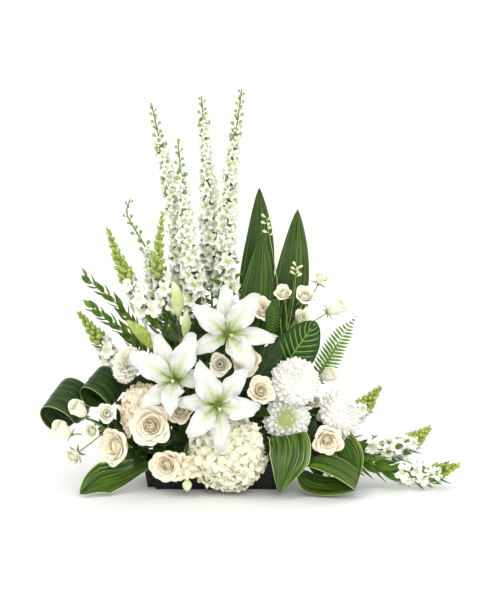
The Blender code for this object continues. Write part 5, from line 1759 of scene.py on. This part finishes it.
@dataclass
class BroadLeaf(Piece):
    """A broad leaf on its stalk."""

    entry: Array
    stalk: Sequence[Array]
    ribs: Sequence[Array]
    half_width: float
    side: Sequence[float]
    finish: Finish
    outline: Callable[[Array], Array] = lance
    fold: float = 0.0
    wave: float = 0.03
    waves: float = 2.5

    @property
    def slot(self) -> str:
        """The record's slot, which goes by the finish."""
        return "striped_leaf" if self.finish is STRIPED else "dark_leaf"

    def gather(self, sheaf: Sheaf) -> None:
        """Adds the stalk, which runs on as the midrib's keel, and the blade."""
        rib = Route(self.ribs)
        way = Route([self.entry, *self.stalk, rib.at(0.0), rib.at(0.05)])
        sheaf.stem(way, (0.0028, 0.0016), STEM)
        grid = leaf_grid(rib, self.half_width, self.outline, self.side, 60, 25, self.fold, 0.0014,
                         self.wave, self.waves)
        sheaf.blades(grid, BROAD_LEAF, self.finish)


@dataclass
class RolledLeaf(Piece):
    """A strap leaf rolled into a loop, its tip tucked in behind where it starts."""

    entry: Array
    stalk: Sequence[Array]
    centre: Array
    axis: Sequence[float]
    first: Sequence[float]
    size: tuple[float, float]
    half_width: float
    crease: float = 0.0
    finish: Finish = STRIPED

    TURNS = 0.93
    slot = "striped_leaf"

    def gather(self, sheaf: Sheaf) -> None:
        """Adds the stalk and the rolled blade, an ellipse that draws in as it goes round."""
        axis = unit(self.axis)
        first = np.array(self.first, float)
        first = unit(first - axis * (first @ axis))
        other = np.cross(axis, first)
        i = np.linspace(0, 1, 15)[:, None]
        angle = 2 * np.pi * self.TURNS * i
        inward = 1 - 0.13 * i
        crease = (1 + 0.5 * self.crease) * np.abs(np.cos(angle / 2)) ** self.crease
        ring = (
            self.centre
            + first * self.size[0] * inward * np.cos(angle)
            + other * self.size[1] * inward * np.sin(angle) * crease
        )
        rib = Route(ring)
        sheaf.stem(Route([self.entry, *self.stalk, ring[0], rib.at(0.05)]), (0.0030, 0.0024), STEM)
        grid = leaf_grid(rib, self.half_width, strap, axis, 90, 25, 0.0, 0.0010, 0.02, 3.0)
        sheaf.blades(grid, BROAD_LEAF, self.finish)


@dataclass
class Fern(Piece):
    """A fern frond: an arched rib with a leaflet to each side at every station."""

    entry: Array
    stalk: Sequence[Array]
    ribs: Sequence[Array]
    half_width: float
    side: Sequence[float]
    pairs: int

    slot = "fern_green"

    def gather(self, sheaf: Sheaf) -> None:
        """Adds the stalk, the rib and the leaflets."""
        rib = Route(self.ribs)
        sheaf.stem(Route([self.entry, *self.stalk, rib.at(0.0)]), (0.0018, 0.0012), STEM)
        sheaf.stem(rib, (0.0012, 0.0004), PALE_STEM, 24, 6, rooted=False)
        t = np.repeat(np.linspace(0.0, 0.985, self.pairs), 2)
        sign = np.tile([-1.0, 1.0], self.pairs)[:, None]
        forward = rib.along(t)
        side = np.array(self.side, float)
        across = unit(side - forward * (forward @ side)[:, None])
        normal = np.cross(across, forward)
        reach = self.half_width * (0.35 + 0.65 * np.sin(np.pi * np.minimum(1, t * 0.9 + 0.08)))
        reach = reach * np.minimum(1.0, (1.04 - t) * 3.2) * 1.22
        out = unit(across * sign + forward * 0.38 - normal * 0.16)
        small_leaves(sheaf, rib.at(t), out, forward, reach, 0.0016 + 0.050 * reach, FERN, 0.0, 8)


@dataclass
class Sprig(Piece):
    """A filler sprig of dark oval leaves, (share, turn, length), and perhaps a few florets.

    The last spot carries a closed bud.
    """

    entry: Array
    points: Sequence[Array]
    leaves: Sequence[tuple[float, float, float]]
    spots: Sequence[Array] = ()

    AWAY = np.array([0.0, 1.0, 0.0])
    SPREAD = 0.015
    slot = "dark_leaf"

    def gather(self, sheaf: Sheaf) -> None:
        """Adds the stem, the leaves, and the florets with their bud."""
        way = Route([self.entry, *self.points])
        sheaf.stem(way, (0.0022, 0.0012), STEM)
        for share, turn, length in self.leaves:
            foot = way.at(share)
            out = unit(np.array([1.0, 0, 0]) * math.cos(turn) + way.along(share) * math.sin(turn))
            tip = foot + out * length
            rise = unit(np.cross(out, [0.0, -1.0, 0.0]))
            rib = Route([foot, (foot + tip) / 2 + mm(0, -4, 0), tip])
            sheaf.blades(leaf_grid(rib, length * 0.27, oval, rise, 22, 11, 0.2, 0.0006, 0.05),
                         OVAL_LEAF, DARK_LEAF)
        for number, spot in enumerate(self.spots):
            fork = way.at(0.6)
            line = Route([fork, (fork + spot) / 2 + UP * 0.006, spot])
            sheaf.stem(line, (0.0012, 0.0010), PALE_STEM, 12, 5, False)
            out = line.along(1.0)
            if number + 1 < len(self.spots):
                frames = facing_frames(out - 1.4 * self.AWAY, float(number))
                sheaf.blades(placed(round_floret(self.SPREAD), frames, [spot]), PETAL, TAN_HYDRANGEA)
            else:
                bud = spot + out * 0.024 * np.linspace(0, 1, 9)[:, None]
                sheaf.tube(bud, bud_radii(9, 10, 0.0095, 0.5, 3, 0.12), 10, WHITE_BUD)


@dataclass
class Arrangement:
    """The whole arrangement, piece by piece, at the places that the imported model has."""

    pieces: list[Piece] = field(default_factory=list)

    def lilies(self) -> None:
        """Three open lilies and their stalks, with the buds on the middle stalk."""
        petals = {
            "a": [
                (97, 0.124, 114, 0.0175), (57, 0.134, 100, 0.0235), (-10, 0.122, 114, 0.0170),
                (-58, 0.122, 106, 0.0230), (207, 0.110, 110, 0.0170), (147, 0.122, 104, 0.0225),
            ],
            "b": [
                (154, 0.138, 104, 0.0235), (110, 0.126, 110, 0.0175), (58, 0.136, 102, 0.0235),
                (4, 0.108, 92, 0.0165), (232, 0.112, 84, 0.0170), (274, 0.118, 66, 0.0215),
            ],
            "c": [
                (116, 0.128, 104, 0.0235), (52, 0.118, 112, 0.0185), (-9, 0.114, 102, 0.0230),
                (-80, 0.114, 112, 0.0180), (225, 0.116, 102, 0.0230), (168, 0.098, 106, 0.0165),
            ],
        }
        crown = [mm(-58, -46, 200), mm(-67, -54, 275), mm(-72, -60, 331)]
        buds = [
            (0.97, mm(-72, -60, 331), mm(-81, -62, 396), 0.0125, LILY_BUD),
            (0.80, mm(-60, -78, 296), mm(-57, -84, 344), 0.0095, LILY_BUD),
            (0.66, mm(-118, -66, 270), mm(-168, -78, 325), 0.0130, GREEN_BUD),
        ]
        table = [
            ("a", top(14, -6), (0, -0.1, 1), mm(19, -95, 301), (0.08, -0.96, 0.22)),
            ("b", top(-36, -22), (0, 0, 1), mm(-72, -122, 218), (-0.14, -0.95, 0.28), crown, buds),
            ("c", top(-6, -36), (0, -0.3, 1), mm(1, -150, 179), (0.04, -0.98, 0.18)),
        ]
        for mark, entry, lean, base, facing, *above in table:
            self.pieces.append(LilyBloom("lily_bloom_" + mark, base, facing, petals[mark]))
            self.pieces.append(LilyStalk("lily_stalk_" + mark, entry, lean, base, facing, *above))

    def roses(self) -> None:
        """Six large roses with their stems, and two half-hidden ones."""
        table = [
            ("1", front(-98, 78), (-0.1, -1, 0), mm(-118, -122, 134), (-0.05, -0.95, 0.25), 0.042,
             (-0.1, -0.35, 0.93), 42),
            ("2", front(-80, 66), (0, -1, 0), mm(-88, -104, 60), (-0.20, -0.97, 0.02), 0.036,
             (0, -1, 0), 40),
            ("3", left(-40, 62), (-0.8, -0.3, 0.2), mm(-172, -84, 88), (-0.62, -0.77, 0.10), 0.039,
             (-0.62, -0.77, 0.10), 38),
            ("4", top(52, -34), (0.2, -0.5, 1), mm(80, -122, 197), (0.08, -0.92, 0.36), 0.030,
             (0.08, -0.92, 0.36), 28),
            ("5", top(-58, -42), (-0.1, -0.6, 1), mm(-68, -98, 157), (0, -0.96, 0.25), 0.030,
             (0, -0.96, 0.25), 26),
            ("6", right(-42, 82), (0.7, -0.6, 0.2), mm(205, -88, 105), (0.05, -0.99, -0.08), 0.033,
             (0.2, -0.97, 0), 28),
        ]
        for mark, entry, lean, base, facing, radius, rising, petals in table:
            self.pieces.append(RoseBloom("rose_bloom_" + mark, base, facing, radius, petals))
            self.pieces.append(RoseStem("rose_stem_" + mark, entry, lean, base, facing, rising))
        self.pieces += [
            HalfHiddenRose("rose_7", top(36, -12), (0.1, -0.1, 1), mm(56, -56, 243), (0, -0.95, 0.3), 0.033),
            HalfHiddenRose("rose_8", top(62, -14), (0.05, 0, 1), mm(82, -32, 334), (0.2, -0.85, 0.45), 0.027),
        ]

    def sprays(self) -> None:
        """Spray roses: a centre one, five at the left and six at the right."""
        self.pieces += [
            Spray(
                "spray_rose_centre", top(10, -26), [mm(8, -60, 180), mm(7, -84, 232)],
                [(0.98, mm(8, -116, 249), (0, -0.96, 0.20), 0.025, True)],
            ),
            Spray(
                "spray_rose_left", left(-20, 74), [mm(-160, -24, 100), mm(-214, -52, 114)],
                [
                    (0.97, mm(-232, -112, 122), (-0.2, -0.9, 0.1), 0.0200, True),
                    (0.90, mm(-204, -98, 152), (0.1, -0.9, 0.4), 0.0205, True),
                    (0.95, mm(-250, -96, 154), (-0.5, -0.5, 0.7), 0.0165, False),
                    (0.98, mm(-279, -96, 117), (-0.6, -0.4, 0.5), 0.0160, False),
                    (0.93, mm(-267, -98, 72), (-0.5, -0.8, -0.2), 0.0215, True),
                ],
            ),
            Spray(
                "spray_rose_right", top(94, 8), [mm(108, 2, 200), mm(138, -6, 300)],
                [
                    (0.92, mm(126, -16, 366), (-0.2, -0.7, 0.7), 0.0200, True),
                    (0.97, mm(166, -20, 362), (0.0, -0.8, 0.6), 0.0220, True),
                    (0.93, mm(197, -8, 394), (0.3, -0.4, 0.8), 0.0190, True),
                    (0.88, mm(218, -10, 334), (0.8, -0.4, 0.5), 0.0175, False),
                    (0.96, mm(161, -18, 320), (0.3, -0.8, 0.4), 0.0195, True),
                    (0.60, mm(203, -16, 207), (0.7, -0.4, 0.4), 0.0155, False),
                    (0.34, mm(180, -44, 162), (0.2, -0.9, 0.3), 0.0125, False),
                    (0.30, mm(193, -46, 136), (0.4, -0.8, 0.2), 0.0110, False),
                ],
                [(0.90, mm(150, -22, 420)), (0.80, mm(92, -6, 512))],
            ),
        ]

    def domes(self) -> None:
        """Three chrysanthemums and the carnation."""
        self.pieces += [
            Chrysanthemum("chrysanthemum_1", top(82, -26), (0.2, -0.2, 1), mm(147, -86, 211),
                          (0.08, -0.86, 0.50), (0.047, 0.034, 0.016)),
            Chrysanthemum("chrysanthemum_2", top(80, -44), (0.3, -0.6, 1), mm(131, -76, 139),
                          (-0.14, -0.97, 0.12), (0.045, 0.022, 0.016), 110, 0.62),
            Chrysanthemum("chrysanthemum_3", right(-14, 86), (1, -0.1, 0.4), mm(231, -50, 140),
                          (0.66, -0.56, 0.50), (0.047, 0.034, 0.016)),
            Carnation("carnation", top(-76, -16), (-0.5, -0.1, 1), mm(-166, -54, 236),
                      (-0.84, -0.40, 0.36), (0.036, 0.028, 0.030)),
        ]

    def hydrangeas(self) -> None:
        """The front mophead and the one behind the roses at the left."""
        self.pieces += [
            Hydrangea("hydrangea_front", front(20, 70), (0, -1, 0), mm(21, -108, 79), (0.02, -1, 0.04),
                      (0.070, 0.069, 0.056, 0.030), 0.0205, 108, HYDRANGEA, "ivory_floret"),
            Hydrangea("hydrangea_left", top(-94, -22), (-0.4, -0.3, 1), mm(-134, -72, 150),
                      (-0.15, -0.95, 0.25), (0.045, 0.052, 0.034, 0.026), 0.0175, 66, TAN_HYDRANGEA,
                      "cream_petal"),
        ]

    def spikes(self) -> None:
        """Five larkspurs, six snapdragons and two leafy stems."""
        self.pieces += [
            Larkspur("larkspur_1", [top(-48, 38), mm(-52, 52, 240), mm(-65, 60, 398), mm(-92, 60, 564),
                                    mm(-125, 55, 723)], 84, (0.38, 0.88), 18),
            Larkspur("larkspur_2", [top(-30, 24), mm(-38, 18, 260), mm(-50, 14, 423), mm(-66, 14, 571),
                                    mm(-74, 20, 657)], 70, (0.40, 0.88), 14),
            Larkspur("larkspur_3", [top(-14, 42), mm(-10, 56, 240), mm(-12, 62, 433), mm(-18, 62, 591),
                                    mm(-30, 60, 736)], 92, (0.41, 0.93), 12),
            Larkspur("larkspur_4", [top(14, 28), mm(14, 26, 240), mm(17, 28, 394), mm(25, 32, 575),
                                    mm(47, 36, 750)], 84, (0.41, 0.88), 20),
            Larkspur("larkspur_5", [top(-66, 24), mm(-84, 38, 220), mm(-116, 48, 370), mm(-136, 46, 443),
                                    mm(-161, 40, 489), mm(-173, 36, 516), mm(-165, 34, 541)],
                     42, (0.44, 0.76), 16, 0.74),
            Snapdragon("snapdragon_1", [top(-80, -2), mm(-86, -10, 180), mm(-102, -18, 290),
                                        mm(-146, -20, 353), mm(-183, -16, 426), mm(-206, -14, 491)],
                       (3, 0.36, 0.52), (5, 0.54, 0.74), (12, 0.74, 0.985)),
            Snapdragon("snapdragon_2", [top(-52, 6), mm(-76, 0, 230), mm(-103, -2, 377), mm(-112, -2, 428),
                                        mm(-102, 2, 520)],
                       (3, 0.36, 0.52), (4, 0.54, 0.70), (12, 0.70, 0.985)),
            Snapdragon("snapdragon_3", [top(-104, 26), mm(-150, 26, 165), mm(-199, 22, 232),
                                        mm(-264, 8, 327)],
                       (3, 0.36, 0.52), (4, 0.54, 0.72), (11, 0.73, 0.985)),
            LeafyStem("leafy_stem_1", [top(-92, 40), mm(-132, 44, 220), mm(-179, 34, 323),
                                       mm(-251, 20, 393)], 10),
            LeafyStem("leafy_stem_2", [top(-96, 8), mm(-126, 2, 190), mm(-161, -6, 274),
                                       mm(-238, -22, 343)], 11),
            Snapdragon("snapdragon_4", [right(6, 66), mm(180, 14, 88), mm(232, 16, 108), mm(270, 8, 130),
                                        mm(312, 0, 183)],
                       (4, 0.30, 0.55), (7, 0.46, 0.78), (10, 0.76, 0.985)),
            Snapdragon("snapdragon_5", [right(-8, 60), mm(200, -4, 74), mm(311, -14, 64), mm(362, -22, 74),
                                        mm(406, -26, 110)],
                       (10, 0.32, 0.80), (8, 0.58, 0.85), (10, 0.84, 0.985)),
            Snapdragon("snapdragon_6", [right(-22, 58), mm(190, -26, 64), mm(327, -56, 38),
                                        mm(396, -66, 28), mm(457, -68, 47)],
                       (13, 0.30, 0.86), (5, 0.68, 0.86), (10, 0.85, 0.985)),
        ]

    def foliage(self) -> None:
        """Upright leaves at the back right, rolled ones low down, ferns and sprigs."""
        self.pieces += [
            BroadLeaf("upright_leaf_1", top(54, 42), [mm(62, 60, 180)],
                      [mm(68, 68, 250), mm(76, 76, 380), mm(82, 82, 470), mm(81, 84, 559)],
                      0.034, (1, 0.1, 0), ASPIDISTRA, fold=0.12),
            BroadLeaf("upright_leaf_2", top(42, 12), [mm(52, 10, 170)],
                      [mm(58, 8, 222), mm(74, 8, 330), mm(82, 10, 400), mm(86, 14, 475)],
                      0.034, (1, -0.15, 0.1), ASPIDISTRA, fold=0.12),
            BroadLeaf("upright_leaf_3", top(78, 32), [mm(98, 34, 190)],
                      [mm(108, 34, 240), mm(136, 32, 350), mm(148, 34, 430), mm(154, 40, 521)],
                      0.035, (1, -0.1, -0.2), ASPIDISTRA, fold=0.12),
            RolledLeaf("looped_leaf_1", left(18, 62), [mm(-180, 16, 84), mm(-220, -6, 112)],
                       mm(-286, -18, 150), (-0.38, -0.80, -0.50), (1, 0, -0.55), (0.039, 0.034), 0.044,
                       finish=SHADED),
            RolledLeaf("looped_leaf_2", left(0, 78), [mm(-150, -2, 112), mm(-180, -14, 150)],
                       mm(-217, -34, 186), (-0.42, -0.78, -0.45), (1, 0.1, -0.8), (0.034, 0.026), 0.036,
                       finish=SHADED),
            RolledLeaf("looped_leaf_3", right(-44, 58), [mm(138, -60, 58), mm(150, -88, 54)],
                       mm(208, -120, 41), (-0.20, -0.88, -0.40), (-1, 0, 0.1), (0.058, 0.026), 0.029, 0.8),
            BroadLeaf("draped_leaf_left", front(-104, 60), [mm(-122, -66, 56)],
                      [mm(-132, -72, 52), mm(-176, -86, 36), mm(-222, -112, 27), mm(-253, -132, 8)],
                      0.031, (0.1, 0.5, 0.8), STRIPED, spoon, 0.25),
            BroadLeaf("draped_leaf_right", front(94, 68), [mm(106, -72, 82)],
                      [mm(111, -84, 96), mm(131, -108, 112), mm(136, -134, 84), mm(116, -152, 16)],
                      0.038, (1, 0.15, 0.12), STRIPED, tongue, 0.05),
            BroadLeaf("draped_leaf_far", right(-42, 70), [mm(160, -54, 84)],
                      [mm(192, -57, 92), mm(226, -60, 97), mm(252, -74, 66), mm(262, -80, 10)],
                      0.026, (0.9, -0.3, 0.5), STRIPED, tongue, 0.1),
            BroadLeaf("veined_leaf_1", top(78, 4), [mm(98, -22, 170)],
                      [mm(112, -46, 212), mm(146, -56, 262), mm(186, -50, 318)],
                      0.040, (0.62, 0.1, -0.6), CALATHEA, oval, 0.10, 0.05, 4.0),
            BroadLeaf("veined_leaf_2", top(60, 4), [mm(84, -30, 220), mm(98, -66, 280)],
                      [mm(102, -74, 298), mm(106, -76, 330), mm(109, -70, 364)],
                      0.020, (0.6, -0.6, 0.1), CALATHEA, oval, 0.10),
            Fern("fern_frond_1", top(104, 34), [mm(150, 26, 150)],
                 [mm(178, 20, 184), mm(214, 14, 240), mm(244, 6, 290), mm(265, 0, 321)],
                 0.021, (0.8, 0.1, -0.6), 22),
            Fern("fern_frond_2", top(106, 18), [mm(150, 6, 146)],
                 [mm(176, 2, 176), mm(212, -4, 226), mm(241, -10, 279)], 0.019, (0.8, 0.1, -0.6), 17),
            Sprig("leaf_sprig_1", top(-14, -8), [mm(-18, -30, 180), mm(-22, -44, 300)],
                  [(0.55, 0.5, 0.060), (0.7, 2.6, 0.055), (0.85, 1.1, 0.050), (0.97, 1.7, 0.060),
                   (0.80, 0.1, 0.070), (0.95, 2.9, 0.060)]),
            Sprig("leaf_sprig_2", front(-50, 76), [mm(-52, -70, 88), mm(-56, -84, 112)],
                  [(0.55, 2.4, 0.042), (0.75, 0.9, 0.040), (0.97, 1.6, 0.042)],
                  [mm(-62, -128, 74), mm(-45, -130, 72), mm(-54, -134, 58), mm(-42, -130, 50),
                   mm(-61, -130, 46), mm(-54, -124, 34)]),
            Sprig("leaf_sprig_3", top(38, -43), [mm(48, -60, 140), mm(52, -62, 176)],
                  [(0.40, 2.6, 0.050), (0.70, 2.3, 0.050), (0.97, 1.6, 0.034), (0.92, 1.12, 0.125),
                   (0.80, 0.72, 0.080)]),
        ]

    def dress(self) -> None:
        """Works out every piece and makes it."""
        kinds = (
            self.lilies, self.roses, self.sprays, self.domes, self.hydrangeas, self.spikes, self.foliage,
        )
        for list_pieces in kinds:
            list_pieces()
        faces = sum(len(piece.dress().data.polygons) for piece in self.pieces)
        log.info("%d pieces with %d faces in all", len(self.pieces), faces)


@dataclass
class Studio:
    """A white round floor, soft lights and the camera at the photograph's angle."""

    target: Array = field(default_factory=lambda: np.array([0.0437, 0.0, 0.352]))
    distance: float = 3.2
    elevation: float = 8.0
    view_height: float = 1.14

    def camera(self) -> None:
        """Adds the camera, whose lens takes in view_height at the target."""
        lens = bpy.data.cameras.new("camera")
        lens.sensor_width = 36.0
        lens.lens = lens.sensor_width * self.distance / self.view_height
        camera = bpy.data.objects.new("camera", lens)
        lift = math.radians(self.elevation)
        camera.location = self.target + self.distance * np.array([0, -math.cos(lift), math.sin(lift)])
        camera.rotation_euler = (math.pi / 2 - lift, 0, 0)
        bpy.context.scene.collection.objects.link(camera)
        bpy.context.scene.camera = camera

    def floor(self) -> None:
        """Adds the floor: a disc that turns up all round, in a quarter circle, into a low wall."""
        bend = 2.0
        arc = np.linspace(0, np.pi / 2, 12)
        reach = np.concatenate([[0.001, 0.5, 2.0], 5.0 + bend * np.sin(arc), [5.0 + bend]])
        z = np.concatenate([[0.0, 0.0, 0.0], bend - bend * np.cos(arc), [2.2]])
        turn = np.linspace(0, 2 * np.pi, 65)[:, None]
        points = np.stack([reach * np.cos(turn), reach * np.sin(turn), z + 0 * turn], -1)
        faces = quads_of(np.arange(points[..., 0].size).reshape(points.shape[:2]))[:, ::-1]
        points = points.reshape(-1, 3)
        mesh = bpy.data.meshes.new("floor")
        mesh.from_pydata(points.tolist(), [], faces.tolist())
        mesh.shade_smooth()
        paper = PlainFinish("paper", (0.955, 0.957, 0.96), (0.965, 0.967, 0.97), 4.0, 300.0, 0.0001, 0.8)
        mesh.materials.append(paper.material())
        floor = bpy.data.objects.new("floor", mesh)
        bpy.context.scene.collection.objects.link(floor)
        floor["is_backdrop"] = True

    def light(self, name: str, place: Sequence[float], size: float, power: float, colour: Colour,
              aim: Sequence[float] = (0.03, 0.0, 0.28)) -> None:
        """Adds a square soft light.

        Args:
            name: its name.
            place: where it stands.
            size: its edge length.
            power: its power in watts.
            colour: its colour.
            aim: what it faces, which is the arrangement if nothing else is given.
        """
        lamp = bpy.data.lights.new(name, "AREA")
        lamp.size = size
        lamp.energy = power
        lamp.color = colour
        obj = bpy.data.objects.new(name, lamp)
        frame = facing_frames(np.array(place) - np.array(aim))[0]
        matrix = np.eye(4)
        matrix[:3, :3] = frame
        matrix[:3, 3] = place
        obj.matrix_world = matrix.T
        bpy.context.scene.collection.objects.link(obj)

    def build(self) -> None:
        """Sets up the floor, the lights, the sky, the tone and the camera."""
        scene = bpy.context.scene
        scene.view_settings.view_transform = "Standard"
        scene.view_settings.exposure = 0.0
        world = bpy.data.worlds.new("sky")
        world.use_nodes = True
        sky = world.node_tree.nodes["Background"]
        sky.inputs["Color"].default_value = (1.0, 1.0, 1.0, 1.0)
        sky.inputs["Strength"].default_value = 0.93
        scene.world = world
        self.floor()
        self.light("key", (-1.5, -1.7, 2.9), 1.0, 20.0, (1.0, 0.985, 0.96))
        self.light("front", (0.5, -3.1, 1.5), 1.6, 40.0, (1.0, 0.985, 0.96))
        self.light("rim", (0.6, 2.0, 2.4), 1.5, 8.0, (1.0, 1.0, 1.0))
        self.light("wash", (0.0, 2.6, 3.2), 3.0, 50.0, (1.0, 1.0, 1.0), (0.0, 7.0, 0.6))
        self.camera()


def dress_kept_nodes(nodes: dict[str, bpy.types.Object]) -> None:
    """Gives the tray and the foam brick, whose shapes are kept, their finishes."""
    for name, finish in (("tray", TRAY), ("foam", FOAM)):
        for slot in nodes[name].material_slots:
            slot.material = finish.material()


def corners() -> list[list[float]]:
    """The shown object's lowest and highest corner, as plain numbers."""
    return [list(corner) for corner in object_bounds()]


def main() -> None:
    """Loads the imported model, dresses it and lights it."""
    logging.basicConfig(level=logging.INFO, format="%(name)s: %(message)s")
    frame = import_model()
    dress_kept_nodes(frame["nodes"])
    Arrangement().dress()
    Studio().build()
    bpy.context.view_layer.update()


if __name__ == "__main__":
    main()
